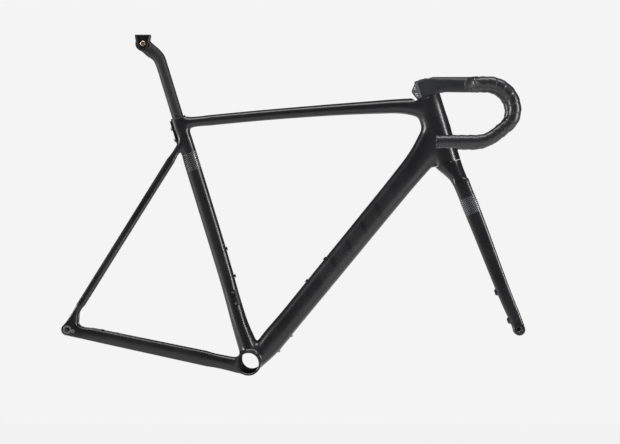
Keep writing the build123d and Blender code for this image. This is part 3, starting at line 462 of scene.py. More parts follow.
def mould(
    name: str,
    parts: Iterable[bmesh.types.BMesh],
    voxel: float,
    zones: Sequence[SoftZone],
    repeats: int,
    regain: float = 0.0,
    polish: int = 5,
) -> bpy.types.Object:
    """Fuse closed shapes into one moulding with filleted junctions.

    Args:
        name: The piece's name.
        parts: Closed shapes that overlap where they meet.
        voxel: Size of the remesh grid.
        zones: Junctions to smooth.
        repeats: How many times the junctions are smoothed.
        regain: How far the surface is pushed back out after it is smoothed.
        polish: How many times the whole surface is smoothed.

    Returns:
        The moulding.
    """
    piece = add_object(name, joined(parts))
    remesh = piece.modifiers.new("fuse", "REMESH")
    remesh.mode = "VOXEL"
    remesh.voxel_size = voxel
    remesh.use_smooth_shade = True
    settle(piece)
    group = piece.vertex_groups.new(name="junction")
    for vert in piece.data.vertices:
        weight = max((zone.weight(vert.co) for zone in zones), default=0.0)
        if weight > 0:
            group.add([vert.index], weight, "REPLACE")
    blend = piece.modifiers.new("fillet", "SMOOTH")
    blend.factor = 0.5
    blend.iterations = repeats
    blend.vertex_group = group.name
    even = piece.modifiers.new("polish", "SMOOTH")
    even.factor = 0.5
    even.iterations = polish
    settle(piece)
    piece.vertex_groups.clear()
    bm = bmesh.new()
    bm.from_mesh(piece.data)
    bm.normal_update()
    for vert in bm.verts:
        vert.co += vert.normal * regain
    bm.to_mesh(piece.data)
    bm.free()
    return piece


@dataclass
class Run:
    """A path of straight runs joined by tangent arcs."""

    corners: Sequence[Vector]
    radii: Sequence[float]
    step: float = 0.0015
    points: list[Vector] = field(init=False)
    marks: list[float] = field(init=False)

    def __post_init__(self) -> None:
        """Lay points along the runs and arcs, at even spacing."""
        rough = [self.corners[0].copy()]
        bends = zip(self.corners, self.corners[1:], self.corners[2:], self.radii)
        for before, corner, after, radius in bends:
            into, out = (corner - before).normalized(), (after - corner).normalized()
            turn = into.angle(out)
            reach = radius * math.tan(turn / 2)
            start, end = corner - into * reach, corner + out * reach
            middle = start + (out - into * into.dot(out)).normalized() * radius
            axis = into.cross(out).normalized()
            count = max(4, int(radius * turn / self.step))
            for i in range(count + 1):
                rough.append(middle + Matrix.Rotation(turn * i / count, 3, axis) @ (start - middle))
            rough[-1] = end
        rough.append(self.corners[-1].copy())
        self.points, self.marks = [rough[0]], [0.0]
        for point in rough[1:]:
            first = self.points[-1]
            gap = (point - first).length
            if gap < 1e-7:
                continue
            count = max(1, int(gap / self.step))
            for i in range(1, count + 1):
                self.points.append(first.lerp(point, i / count))
                self.marks.append(self.marks[-1] + gap / count)

    @property
    def length(self) -> float:
        """Length of the path."""
        return self.marks[-1]

    def frames(self) -> list[tuple[Vector, Vector]]:
        """Two cross directions at each point, with no twist between points."""
        found = []
        across = None
        last = len(self.points) - 1
        for i in range(last + 1):
            tangent = (self.points[min(i + 1, last)] - self.points[max(i - 1, 0)]).normalized()
            start = UP if across is None else across
            across = (start - tangent * start.dot(tangent)).normalized()
            found.append((across, tangent.cross(across)))
        return found


def sweep_mesh(run: Run, columns: int, radius: Callable[[float, float], float]) -> bmesh.types.BMesh:
    """Tube along a path whose radius depends on the distance and the turn.

    Args:
        run: The path.
        columns: Points round the tube.
        radius: Radius for a distance along the path and a share of a turn.

    Returns:
        The closed tube.
    """
    frames = run.frames()
    last = len(run.points) - 1

    def place(share: float, turn: float) -> Vector:
        """Surface point for a share of the length and a share of a turn."""
        i = round(share * last)
        across, other = frames[i]
        spoke = across * math.cos(turn * math.tau) + other * math.sin(turn * math.tau)
        return run.points[i] + spoke * radius(run.marks[i], turn)

    return wrap_grid(last, columns, place)


# ---------------------------------------------------------------- materials
class Graph:
    """Short way to build a node tree."""

    def __init__(self, tree: bpy.types.NodeTree) -> None:
        """Start from an empty tree."""
        self.tree = tree
        tree.nodes.clear()

    def node(self, kind: str, **settings) -> bpy.types.Node:
        """Add a node.

        Args:
            kind: Its type, without the ShaderNode prefix.
            **settings: Properties of the node.

        Returns:
            The node.
        """
        made = self.tree.nodes.new("ShaderNode" + kind if not kind.startswith("NodeGroup") else kind)
        for name, value in settings.items():
            setattr(made, name, value)
        return made

    def feed(self, socket: bpy.types.NodeSocket, value) -> None:
        """Set a socket to a constant or link it to an output."""
        if isinstance(value, bpy.types.NodeSocket):
            self.tree.links.new(value, socket)
        else:
            socket.default_value = value

    def math(self, operation: str, *values) -> bpy.types.NodeSocket:
        """Math node on constants and outputs."""
        made = self.node("Math", operation=operation)
        for socket, value in zip(made.inputs, values):
            self.feed(socket, value)
        return made.outputs[0]

    def between(self, value, low: float, high: float, soft: float) -> bpy.types.NodeSocket:
        """Mask that is 1 between two limits, with soft edges."""
        rise = self.ramp(value, low - soft, low + soft)
        fall = self.ramp(value, high + soft, high - soft)
        return self.math("MULTIPLY", rise, fall)

    def ramp(
        self, value, start: float, end: float, low: float = 0.0, high: float = 1.0
    ) -> bpy.types.NodeSocket:
        """Map a value from one range to another, clamped."""
        made = self.node("MapRange", clamp=True)
        for socket, item in zip(made.inputs, (value, start, end, low, high)):
            self.feed(socket, item)
        return made.outputs[0]

    def mix(self, factor, first, second) -> bpy.types.NodeSocket:
        """Mix two colours."""
        made = self.node("Mix", data_type="RGBA")
        for name, value in (("Factor_Float", factor), ("A_Color", first), ("B_Color", second)):
            socket = next(item for item in made.inputs if item.identifier == name)
            self.feed(socket, value)
        return next(item for item in made.outputs if item.identifier == "Result_Color")

    def group(self, tree: bpy.types.NodeTree, **values) -> bpy.types.Node:
        """Place a node group with its own input values."""
        made = self.node("Group", node_tree=tree)
        for name, value in values.items():
            self.feed(made.inputs[name], value)
        return made

    def relief(self, shader: bpy.types.Node, height, strength: float, distance: float) -> None:
        """Raise and sink a shader's surface by a height."""
        bump = self.node("Bump")
        bump.inputs["Strength"].default_value = strength
        bump.inputs["Distance"].default_value = distance
        self.feed(bump.inputs["Height"], height)
        self.feed(shader.inputs["Normal"], bump.outputs[0])

    def local(self, vector, centre: Vector, axes: Sequence[Vector]) -> list[bpy.types.NodeSocket]:
        """Coordinates of a point in a frame of its own.

        Args:
            vector: The point.
            centre: The frame's centre.
            axes: The frame's three axes.

        Returns:
            One output for each axis.
        """
        shift = self.node("VectorMath", operation="SUBTRACT")
        self.feed(shift.inputs[0], vector)
        shift.inputs[1].default_value = centre
        place = self.node("Mapping")
        place.inputs["Rotation"].default_value = Matrix(axes).to_euler()
        self.feed(place.inputs["Vector"], shift.outputs[0])
        split = self.node("SeparateXYZ")
        self.feed(split.inputs[0], place.outputs[0])
        return list(split.outputs)


def new_finish(name: str) -> tuple[bpy.types.Material, Graph, bpy.types.Node]:
    """Start a material on a principled shader.

    Args:
        name: The material's name.

    Returns:
        The material, its graph and its shader.
    """
    made = bpy.data.materials.new(name)
    made.use_nodes = True
    graph = Graph(made.node_tree)
    output, shader = graph.node("OutputMaterial"), graph.node("BsdfPrincipled")
    graph.feed(output.inputs["Surface"], shader.outputs[0])
    return made, graph, shader


def new_group(name: str, inputs: dict[str, tuple[str, float]], outputs: Sequence[str]) -> tuple:
    """Empty node group with named sockets.

    Args:
        name: The group's name.
        inputs: Socket type and default of each input.
        outputs: Names of the value outputs.

    Returns:
        The tree, its graph, its input node and its output node.
    """
    tree = bpy.data.node_groups.new(name, "ShaderNodeTree")
    for label, (kind, default) in inputs.items():
        socket = tree.interface.new_socket(name=label, in_out="INPUT", socket_type=kind)
        if kind == "NodeSocketFloat":
            socket.default_value = default
    for label in outputs:
        tree.interface.new_socket(name=label, in_out="OUTPUT", socket_type="NodeSocketFloat")
    graph = Graph(tree)
    return tree, graph, graph.node("NodeGroupInput"), graph.node("NodeGroupOutput")


def coat_grain_group() -> bpy.types.NodeTree:
    """Fine relief and cloudy gloss of a sprayed clear coat."""
    sockets = {
        "Vector": ("NodeSocketVector", 0.0),
        "Scale": ("NodeSocketFloat", 400.0),
        "Cloud": ("NodeSocketFloat", 9.0),
    }
    tree, graph, source, result = new_group("coat_grain", sockets, ["Height", "Cloudiness", "Fleck"])
    fine = graph.node("TexNoise", noise_dimensions="3D")
    graph.feed(fine.inputs["Vector"], source.outputs["Vector"])
    graph.feed(fine.inputs["Scale"], source.outputs["Scale"])
    fine.inputs["Detail"].default_value = 3.0
    cloud = graph.node("TexNoise")
    graph.feed(cloud.inputs["Vector"], source.outputs["Vector"])
    graph.feed(cloud.inputs["Scale"], source.outputs["Cloud"])
    cloud.inputs["Detail"].default_value = 5.0
    cloud.inputs["Roughness"].default_value = 0.65
    fleck = graph.node("TexVoronoi", feature="F1")
    graph.feed(fleck.inputs["Vector"], source.outputs["Vector"])
    graph.feed(fleck.inputs["Scale"], graph.math("MULTIPLY", source.outputs["Scale"], 2.5))
    graph.feed(result.inputs["Height"], fine.outputs[0])
    graph.feed(result.inputs["Cloudiness"], graph.ramp(cloud.outputs[0], 0.3, 0.7))
    graph.feed(result.inputs["Fleck"], graph.ramp(fleck.outputs["Distance"], 0.12, 0.0))
    return tree


def brushed_group() -> bpy.types.NodeTree:
    """Fine machining marks and handling wear of bare metal."""
    sockets = {"Vector": ("NodeSocketVector", 0.0), "Scale": ("NodeSocketFloat", 300.0)}
    tree, graph, source, result = new_group("brushed", sockets, ["Height", "Wear"])
    stretch = graph.node("Mapping")
    stretch.inputs["Scale"].default_value = (1.0, 0.06, 1.0)
    graph.feed(stretch.inputs["Vector"], source.outputs["Vector"])
    lines = graph.node("TexNoise")
    graph.feed(lines.inputs["Vector"], stretch.outputs[0])
    graph.feed(lines.inputs["Scale"], graph.math("MULTIPLY", source.outputs["Scale"], 4.0))
    wear = graph.node("TexNoise")
    graph.feed(wear.inputs["Vector"], source.outputs["Vector"])
    graph.feed(wear.inputs["Scale"], source.outputs["Scale"])
    wear.inputs["Detail"].default_value = 6.0
    graph.feed(result.inputs["Height"], lines.outputs[0])
    graph.feed(result.inputs["Wear"], graph.ramp(wear.outputs[0], 0.45, 0.75))
    return tree


@dataclass(frozen=True)
class Band:
    """A printed band of fine wavy lines round a tube.

    Its place is given by its middle, the tube's direction and half its length.
    """

    centre: Vector
    along: Vector
    half: float
    pitch: float = 0.0045
    strength: float = 0.55
    wave: float = 420.0
    swing: float = 0.0011
    slant: float = -0.35

    def mask(self, graph: Graph, vector: bpy.types.NodeSocket) -> bpy.types.NodeSocket:
        """Mask of the printed lines."""
        fore, _, rise = graph.local(vector, self.centre, (SIDE.cross(self.along), SIDE, self.along))
        phase = graph.math("MULTIPLY", fore, self.wave)
        sway = graph.math("MULTIPLY", graph.math("SINE", phase), self.swing)
        slope = graph.math("MULTIPLY", fore, self.slant)
        height = graph.math("ADD", graph.math("ADD", rise, slope), sway)
        saw = graph.math("PINGPONG", height, self.pitch / 2)
        line = graph.ramp(saw, self.pitch * 0.17, self.pitch * 0.08)
        zone = graph.between(rise, -self.half, self.half, 0.0015)
        near = graph.between(fore, -0.03, 0.03, 0.004)
        fade = graph.ramp(graph.math("ABSOLUTE", fore), 0.001, 0.012, 0.35, 1.0)
        printed = graph.math("MULTIPLY", line, zone)
        shown = graph.math("MULTIPLY", near, fade)
        return graph.math("MULTIPLY", graph.math("MULTIPLY", printed, shown), self.strength)


@dataclass(frozen=True)
class Halftone:
    """A tonal field of fine dots along a tube, slightly glossier than its ground."""

    start: Vector
    along: Vector
    length: float
    half: float
    pitch: float = 0.004
    lean: float = 0.45
    block: float = 0.026

    def mask(self, graph: Graph, vector: bpy.types.NodeSocket) -> bpy.types.NodeSocket:
        """Mask of the dots, in slanted blocks that fade towards the ends."""
        upward = self.along.cross(SIDE) * -1
        along, _, rise = graph.local(vector, self.start, (self.along, SIDE, upward))
        x = graph.math("PINGPONG", along, self.pitch / 2)
        z = graph.math("PINGPONG", rise, self.pitch / 2)
        squares = graph.math("ADD", graph.math("MULTIPLY", x, x), graph.math("MULTIPLY", z, z))
        dot = graph.ramp(graph.math("SQRT", squares), self.pitch * 0.34, self.pitch * 0.22)
        slanted = graph.math("ADD", along, graph.math("MULTIPLY", rise, self.lean))
        stripe = graph.ramp(graph.math("PINGPONG", slanted, self.block), 0.0045, 0.0055)
        zone = graph.between(along, 0.0, self.length, 0.002)
        band = graph.between(rise, -self.half, self.half, 0.001)
        dots, field_of_dots = graph.math("MULTIPLY", dot, stripe), graph.math("MULTIPLY", zone, band)
        return graph.math("MULTIPLY", dots, field_of_dots)


@dataclass(frozen=True)
class CoatFinish:
    """Satin clear coat over black carbon, with optional printed bands."""

    name: str
    base: tuple[float, float, float] = (0.0075, 0.0075, 0.0082)
    sheen: tuple[float, float, float] = (0.017, 0.017, 0.019)
    rough: float = 0.27
    rough_spread: float = 0.08
    coat: float = 0.35
    relief: float = 0.012
    fleck: tuple[float, float, float] = (0.03, 0.03, 0.032)
    fleck_share: float = 0.12
    dot: tuple[float, float, float] = (0.05, 0.05, 0.052)
    ink: tuple[float, float, float] = (0.62, 0.63, 0.64)
    bands: tuple[Band, ...] = ()
    tone: Halftone | None = None

    def material(self, grain: bpy.types.NodeTree) -> bpy.types.Material:
        """Build the material.

        Args:
            grain: The coat grain node group.

        Returns:
            The material.
        """
        made, graph, shader = new_finish(self.name)
        place = graph.node("TexCoord").outputs["Object"]
        coat = graph.group(grain, Vector=place, Scale=900.0, Cloud=14.0)
        colour = graph.mix(coat.outputs["Cloudiness"], (*self.base, 1), (*self.sheen, 1))
        fleck = graph.math("MULTIPLY", coat.outputs["Fleck"], self.fleck_share)
        colour = graph.mix(fleck, colour, (*self.fleck, 1))
        rough = graph.ramp(coat.outputs["Cloudiness"], 0, 1, self.rough, self.rough + self.rough_spread)
        if self.tone:
            dots = self.tone.mask(graph, place)
            colour = graph.mix(dots, colour, (*self.dot, 1))
            rough = graph.math("MULTIPLY", rough, graph.ramp(dots, 0, 1, 1.0, 0.8))
        for band in self.bands:
            colour = graph.mix(band.mask(graph, place), colour, (*self.ink, 1))
        graph.feed(shader.inputs["Base Color"], colour)
        graph.feed(shader.inputs["Roughness"], rough)
        shader.inputs["Coat Weight"].default_value = self.coat
        shader.inputs["Coat Roughness"].default_value = 0.22
        shader.inputs["Specular IOR Level"].default_value = 0.5
        graph.relief(shader, coat.outputs["Height"], self.relief, 0.0004)
        return made


@dataclass(frozen=True)
class MetalFinish:
    """Bare or anodised metal with machining marks and wear."""

    name: str
    colour: tuple[float, float, float]
    worn: tuple[float, float, float]
    rough: float = 0.3
    metallic: float = 1.0
    rough_spread: float = 0.15

    def material(self, brushed: bpy.types.NodeTree) -> bpy.types.Material:
        """Build the material from the brushed node group."""
        made, graph, shader = new_finish(self.name)
        marks = graph.group(brushed, Vector=graph.node("TexCoord").outputs["Object"], Scale=350.0)
        wear = marks.outputs["Wear"]
        graph.feed(shader.inputs["Base Color"], graph.mix(wear, (*self.colour, 1), (*self.worn, 1)))
        rough = graph.ramp(wear, 0, 1, self.rough, self.rough + self.rough_spread)
        graph.feed(shader.inputs["Roughness"], rough)
        shader.inputs["Metallic"].default_value = self.metallic
        graph.relief(shader, marks.outputs["Height"], 0.12, 0.0002)
        return made


@dataclass(frozen=True)
class TapeFinish:
    """Glossy black handlebar tape with a pebbled skin and creases, with painted shade in the sunken creases
    and a painted highlight on the raised parts.
    """

    name: str
    # Painted shade and highlight: the first colour is the painted shade of the sunken creases, the second the
    # painted highlight of the raised parts.
    dark: tuple[float, float, float] = (0.010, 0.010, 0.0108)
    light: tuple[float, float, float] = (0.030, 0.030, 0.033)
    pebble_share: float = 0.35

    def material(self) -> bpy.types.Material:
        """Build the material."""
        made, graph, shader = new_finish(self.name)
        place = graph.node("TexCoord").outputs["Object"]
        pebble = graph.node("TexVoronoi", feature="SMOOTH_F1")
        graph.feed(pebble.inputs["Vector"], place)
        pebble.inputs["Scale"].default_value = 900.0
        crease = graph.node("TexNoise")
        graph.feed(crease.inputs["Vector"], place)
        crease.inputs["Scale"].default_value = 60.0
        crease.inputs["Detail"].default_value = 5.0
        crease.inputs["Distortion"].default_value = 0.8
        # Painted shade and highlight: the colour follows the crease height that also drives the relief,
        # darker where it sinks, lighter where it rises.
        colour = graph.mix(crease.outputs[0], (*self.dark, 1), (*self.light, 1))
        graph.feed(shader.inputs["Base Color"], colour)
        graph.feed(shader.inputs["Roughness"], graph.ramp(crease.outputs[0], 0.3, 0.7, 0.30, 0.44))
        shader.inputs["Coat Weight"].default_value = 0.5
        shader.inputs["Coat Roughness"].default_value = 0.28
        pebbled = graph.math("MULTIPLY", pebble.outputs["Distance"], self.pebble_share)
        graph.relief(shader, graph.math("ADD", crease.outputs[0], pebbled), 0.16, 0.0005)
        return made


@dataclass(frozen=True)
class RubberFinish:
    """Soft matte rubber with a little dust."""

    name: str
    colour: tuple[float, float, float] = (0.012, 0.012, 0.012)

    def material(self, grain: bpy.types.NodeTree) -> bpy.types.Material:
        """Build the material from the coat grain node group."""
        made, graph, shader = new_finish(self.name)
        place = graph.node("TexCoord").outputs["Object"]
        coat = graph.group(grain, Vector=place, Scale=700.0, Cloud=40.0)
        dusty = tuple(2 * channel for channel in self.colour)
        colour = graph.mix(coat.outputs["Cloudiness"], (*self.colour, 1), (*dusty, 1))
        graph.feed(shader.inputs["Base Color"], colour)
        graph.feed(shader.inputs["Roughness"], graph.ramp(coat.outputs["Cloudiness"], 0, 1, 0.6, 0.8))
        graph.relief(shader, coat.outputs["Height"], 0.2, 0.0003)
        return made


class Palette:
    """All finishes of the bicycle frame, one material each."""

    def __init__(self, anchors: Anchors) -> None:
        """Build the node groups and the materials."""
        grain, brushed = coat_grain_group(), brushed_group()
        seat_band = Band(anchors.seat(-0.102), anchors.seat_up, 0.021)
        leg = (anchors.head(-0.23, 0.018) - anchors.head(-0.53, 0.041)).normalized()
        fork_band = Band(anchors.head(-0.262, 0.021), leg, 0.019)
        down = (anchors.head(anchors.crown_seat + DOWN_RISE) - DOWN_START).normalized()
        tone = Halftone(DOWN_START + down * 0.235, down, 0.265, 0.0195)
        carbon = (
            CoatFinish("frame_satin_carbon", bands=(seat_band,), tone=tone),
            CoatFinish("fork_satin_carbon", bands=(fork_band,)),
            CoatFinish(
                "cockpit_satin_carbon", (0.020, 0.0205, 0.022), (0.030, 0.031, 0.034), 0.40, coat=0.15
            ),
            CoatFinish("post_matte_carbon", (0.015, 0.0135, 0.0135), (0.023, 0.0205, 0.021), 0.5, coat=0.0),
        )
        self.frame, self.fork, self.cockpit, self.post = (one.material(grain) for one in carbon)
        self.tape = TapeFinish("bar_tape").material()
        self.rubber = RubberFinish("soft_rubber").material(grain)
        metals = (
            MetalFinish("black_anodised", (0.012, 0.012, 0.013), (0.035, 0.035, 0.037), 0.38, 0.6),
            MetalFinish("machined_aluminium", (0.55, 0.55, 0.56), (0.42, 0.42, 0.43), 0.26),
            MetalFinish("bolt_steel", (0.42, 0.42, 0.43), (0.3, 0.3, 0.31), 0.24),
            MetalFinish("dark_bolt", (0.06, 0.06, 0.062), (0.14, 0.14, 0.145), 0.3),
            MetalFinish("bronze_bolt", (0.62, 0.52, 0.38), (0.5, 0.41, 0.29), 0.3),
            MetalFinish("end_plug", (0.03, 0.03, 0.032), (0.3, 0.3, 0.31), 0.25, 0.7),
            MetalFinish("badge_grey", (0.16, 0.165, 0.17), (0.24, 0.245, 0.25), 0.35),
        )
        made = [one.material(brushed) for one in metals]
        self.black, self.silver, self.steel, self.dark_steel, self.bronze, self.plug, self.badge = made

    def for_slot(self, slot: str) -> bpy.types.Material:
        """Material of one of the record's slots."""
        return {
            "frame_carbon": self.frame,
            "fork_carbon": self.fork,
            "cockpit_carbon": self.cockpit,
            "post_carbon": self.post,
            "bar_tape": self.tape,
            "black_metal": self.black,
            "steel": self.steel,
            "silver_metal": self.silver,
            "bronze_bolt": self.bronze,
            "rubber": self.rubber,
            "badge": self.badge,
            "bearing_steel": self.steel,
        }[slot]


def dress(
    piece: bpy.types.Object, material: bpy.types.Material, body: str, nodes: Sequence[str] = ()
) -> bpy.types.Object:
    """Give a piece its material and body, and hide the CAD nodes that it stands for.

    Args:
        piece: The finished piece.
        material: Its finish.
        body: The CAD body that it rides on.
        nodes: CAD nodes that it replaces.

    Returns:
        The piece.
    """
    piece.data.materials.clear()
    piece.data.materials.append(material)
    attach(piece, body)
    if nodes:
        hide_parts(*nodes)
    LOG.info("%s: %d faces on %s", piece.name, len(piece.data.polygons), body)
    return piece


# ---------------------------------------------------------------- shared small parts
@dataclass(frozen=True)
class SocketBolt:
    """A round-head bolt with a hexagon socket."""

    seat: Vector
    out: Vector
    head_radius: float
    head_height: float
    shank_radius: float
    shank_length: float

    def mesh(self) -> bmesh.types.BMesh:
        """Head and shank as one closed mesh."""
        r, h = self.head_radius, self.head_height
        chamfer = min(0.18 * r, 0.4 * h)
        socket = 0.52 * r
        profile = [(0, -self.shank_length), (self.shank_radius, -self.shank_length), (self.shank_radius, 0)]
        profile += [(r, 0), (r, h - chamfer), (r - chamfer, h), (socket, h)]
        bolt = turned_mesh(self.seat, self.out, profile, steps=36)
        rim = [edge for edge in bolt.edges if edge.is_boundary]
        place = along_matrix(self.seat, self.out)
        low = bmesh.ops.extrude_edge_only(bolt, edges=rim)
        verts = [item for item in low["geom"] if isinstance(item, bmesh.types.BMVert)]
        inverse = place.inverted()
        for vert in verts:
            local = inverse @ vert.co
            angle = math.atan2(local.y, local.x)
            side = (angle % (math.tau / 6)) - math.tau / 12
            reach = socket * 0.82 / math.cos(side)
            depth = h - max(0.0018, 0.55 * h)
            vert.co = place @ Vector((math.cos(angle) * reach, math.sin(angle) * reach, depth))
        floor = [edge for edge in bolt.edges if edge.is_boundary]
        bmesh.ops.holes_fill(bolt, edges=floor, sides=0)
        bmesh.ops.recalc_face_normals(bolt, faces=bolt.faces)
        return bolt


# ---------------------------------------------------------------- frame
@dataclass
class MainFrame:
    """The moulded frame: tubes, shell, stays and dropouts blended into one moulding."""

    at: Anchors
    head_depth: float = 0.062
    head_width_top: float = 0.050
    head_width_bottom: float = 0.060
    top_arch: float = 0.0046
    seat_depth: float = 0.034
    seat_width: float = 0.031
    shell_radius: float = 0.0276
    shell_bore: float = 0.023
    shell_chamfer: float = 0.0266
    post_radius: float = 0.01275
    upper_bore: float = 0.0205
    lower_bore: float = 0.0262
    stem_swing: float = 0.0318
    cover_recess: float = 0.0036
    collar_gap: float = 0.002
    chainstay_dip: float = 0.010
    seatstay_drop: float = 0.0485
    seatstay_back: float = 0.006
    stay_side: float = 0.0755
    axle_bore: float = 0.006
    hanger_bore: float = 0.0095
    lobe_radius: float = 0.0046
    dropout_radius: float = 0.013
    dropout_half: float = 0.0045
    voxel: float = 0.0021
    nodes: tuple[str, ...] = (
        "head_tube", "top_tube", "down_tube", "seat_tube", "bb_shell", "chainstay_left", "chainstay_right",
        "seatstay_left", "seatstay_right", "dropout_left", "dropout_right",
    )

    def head_sections(self) -> list[Section]:
        """Head tube, a little longer than the real one, so that its faces are cut flat."""
        at = self.at
        rows = [(-0.164, self.head_width_bottom), (-0.11, 0.057)]
        rows += [(-0.05, 0.052), (0.004, self.head_width_top)]
        return [
            Section(at.head(up, 0.001), at.head_up, width, self.head_depth, 2.3) for up, width in rows
        ]

    def top_sections(self) -> list[Section]:
        """Top tube: slim at the seat cluster, deeper towards the head tube."""
        start, end = self.at.seat(-0.0125), self.at.head(-0.017)
        chord = end - start
        rows = [(0.0, 0.0275, 0.031, 0.0), (0.045, 0.0245, 0.030, 0.0), (0.12, 0.0232, 0.030, 0.0)]
        rows += [(0.35, 0.0232, 0.032, 0.0), (0.6, 0.0250, 0.036, 0.0), (0.78, 0.0285, 0.040, -0.0003)]
        rows += [(0.88, 0.0325, 0.043, -0.001), (0.94, 0.040, 0.045, -0.0045), (1.0, 0.052, 0.044, -0.011)]
        return [
            Section(
                start + chord * share + UP * (4 * self.top_arch * share * (1 - share) + shift),
                chord.normalized(), width, depth, 2.5,
            )
            for share, depth, width, shift in rows
        ]

    def down_sections(self) -> list[Section]:
        """Down tube, deepest where it flares under the head tube."""
        run = self.at.head(self.at.crown_seat + DOWN_RISE) - DOWN_START
        along = run.normalized()
        upward = Vector((-along.z, 0, along.x))
        rows = [(0.0, 0.034, 0.068, 0.0), (0.05, 0.0465, 0.067, 0.0006), (0.10, 0.0520, 0.066, 0.0008)]
        rows += [(0.2, 0.0500, 0.063, 0.0), (0.4, 0.0512, 0.060, 0.0)]
        rows += [(0.6, 0.0520, 0.057, 0.0), (0.8, 0.0540, 0.054, 0.0), (0.9, 0.060, 0.052, 0.0005)]
        rows += [(0.96, 0.072, 0.051, 0.002), (1.0, 0.082, 0.050, 0.003)]
        return [
            Section(DOWN_START + run * share + upward * shift, along, width, depth, 2.6)
            for share, depth, width, shift in rows
        ]

    def seat_sections(self) -> list[Section]:
        """Seat tube, widening into the shell."""
        at = self.at
        length = at.collar.z / at.seat_up.z
        rows = [(up, self.seat_depth, self.seat_width, 0.0) for up in (0.006, -0.05)]
        rows += [(-0.25, 0.0342, 0.031, 0.0), (-0.36, 0.0335, 0.033, -0.0006)]
        rows += [(-0.42, 0.0330, 0.038, -0.0020), (-0.48, 0.036, 0.052, -0.003)]
        rows += [(-0.53, 0.043, 0.064, -0.001), (-length, 0.044, 0.068, 0.0)]
        return [
            Section(at.seat(up, shift), at.seat_up, width, depth, 2.35) for up, depth, width, shift in rows
        ]

    def chainstay_sections(self) -> list[Section]:
        """Left chainstay, bowed round the tyre."""
        start = UP * -self.chainstay_dip
        run = self.at.rear_axle - start
        along = run.normalized()
        rows = [(0.03, 0.033, 0.0215, 0.034), (0.12, 0.0320, 0.020, 0.034), (0.22, 0.0315, 0.018, 0.033)]
        rows += [(0.5, 0.0485, 0.016, 0.0305), (0.78, 0.0690, 0.0125, 0.028)]
        rows += [(0.93, self.stay_side, 0.0095, 0.0265), (0.985, self.stay_side, 0.009, 0.0262)]
        return [Section(start + run * s + SIDE * side, along, w, d, 2.5) for s, side, w, d in rows]

    def seatstay_sections(self) -> list[Section]:
        """Left seatstay, from the seat tube's side to the dropout."""
        start = self.at.seat(-self.seatstay_drop)
        run = self.at.rear_axle - FORE * self.seatstay_back - start
        along = run.normalized()
        rows = [(-0.01, 0.0095, 0.0135, 0.0185), (0.08, 0.0125, 0.0135, 0.0175)]
        rows += [(0.3, 0.0265, 0.0125, 0.0163), (0.6, 0.0545, 0.0115, 0.0148)]
        rows += [(0.86, 0.0745, 0.0095, 0.0140), (0.97, self.stay_side, 0.009, 0.0138)]
        return [Section(start + run * s + SIDE * side, along, w, d, 2.3) for s, side, w, d in rows]

    def dropout_mesh(self) -> bmesh.types.BMesh:
        """Left dropout: a round end with a web between the stays."""
        axle, back = self.at.rear_axle, FORE * -self.seatstay_back
        low, high = self.stay_side - self.dropout_half, self.stay_side + self.dropout_half
        disc = rod_mesh(axle + SIDE * low, axle + SIDE * high, self.dropout_radius)
        chain = (axle + UP * self.chainstay_dip).normalized()
        stay = (axle + back - self.at.seat(-self.seatstay_drop)).normalized()
        over_chain, over_stay = SIDE.cross(chain), SIDE.cross(stay)
        web = [
            axle - chain * 0.036 - over_chain * 0.0125,
            axle - chain * 0.036 + over_chain * 0.0128,
            axle - chain * 0.020 + over_chain * 0.0135,
            axle - stay * 0.034 - over_stay * 0.0085,
            axle - stay * 0.048 - over_stay * 0.0062 + back,
            axle - stay * 0.048 + over_stay * 0.0066 + back,
            axle + Vector((-0.0122, 0, 0.0035)),
            axle + Vector((-0.009, 0, -0.0085)),
            axle + Vector((0.002, 0, -0.0128)),
        ]
        return joined([disc, plate_mesh(web, low, high)])

    def cuts(self) -> list[bmesh.types.BMesh]:
        """Flat faces and bores."""
        at, bore, far = self.at, self.shell_bore, SIDE * PAST_ALL
        above = at.head(0.06)
        cuts = [
            block_mesh(at.head(at.crown_seat - 0.02), at.head_up, 0.12, 0.0725, 0.04),
            rod_mesh(at.head(-self.cover_recess), above, self.lower_bore, 64),
            rod_mesh(at.head(0.0), above, self.stem_swing, 64),
            rod_mesh(at.head(-0.2), at.head(0.05), self.upper_bore),
            rod_mesh(at.head(-0.2), at.head(at.crown_seat + 0.008), self.lower_bore),
            block_mesh(at.seat(0.02 - self.collar_gap), at.seat_up, 0.05, 0.05, 0.04),
            rod_mesh(at.seat(-0.23), at.seat(0.05), self.post_radius),
            rod_mesh(-far, far, bore, 64),
        ]
        for side in Side:
            out = SIDE * side.value
            rim, past = out * (at.shell_half - 0.0016), out * (at.shell_half + 0.002)
            cuts.append(rod_mesh(rim, past, bore, 64, self.shell_chamfer))
        for side in Side:
            cuts.append(block_mesh(SIDE * side.value * (at.shell_half + 0.03), FORE, 0.06, 0.12, 0.12))
        axle, inside = at.rear_axle, SIDE * 0.05
        cuts.append(rod_mesh(axle + inside, axle + far, self.axle_bore, 40))
        cuts.append(rod_mesh(axle - far, axle - inside, self.hanger_bore, 40))
        lobe = axle + Vector((0.0126, 0, -0.0036))
        cuts.append(rod_mesh(lobe - far, lobe - inside, self.lobe_radius, 32))
        return cuts

    def zones(self) -> list[SoftZone]:
        """Junctions that are blended into fillets."""
        at = self.at
        found = [
            SoftZone(at.head(-0.035, -0.045), 0.062),
            SoftZone(at.head(-0.095, -0.055), 0.075),
            SoftZone(at.head(-0.14, -0.025), 0.040, 0.6),
            SoftZone(at.seat(-0.015, 0.028), 0.042),
            SoftZone(at.seat(-0.062, -0.018), 0.040, 0.9),
            SoftZone(Vector((0.012, 0, 0.045)), 0.060),
            SoftZone(Vector((-0.052, 0.034, 0.012)), 0.045),
            SoftZone(Vector((-0.052, -0.034, 0.012)), 0.045),
            SoftZone(Vector((-0.005, 0, 0.0)), 0.058, 0.35),
        ]
        for side in (-self.stay_side, self.stay_side):
            found.append(SoftZone(at.rear_axle + Vector((0.022, side, 0.02)), 0.036, 0.8))
        return found

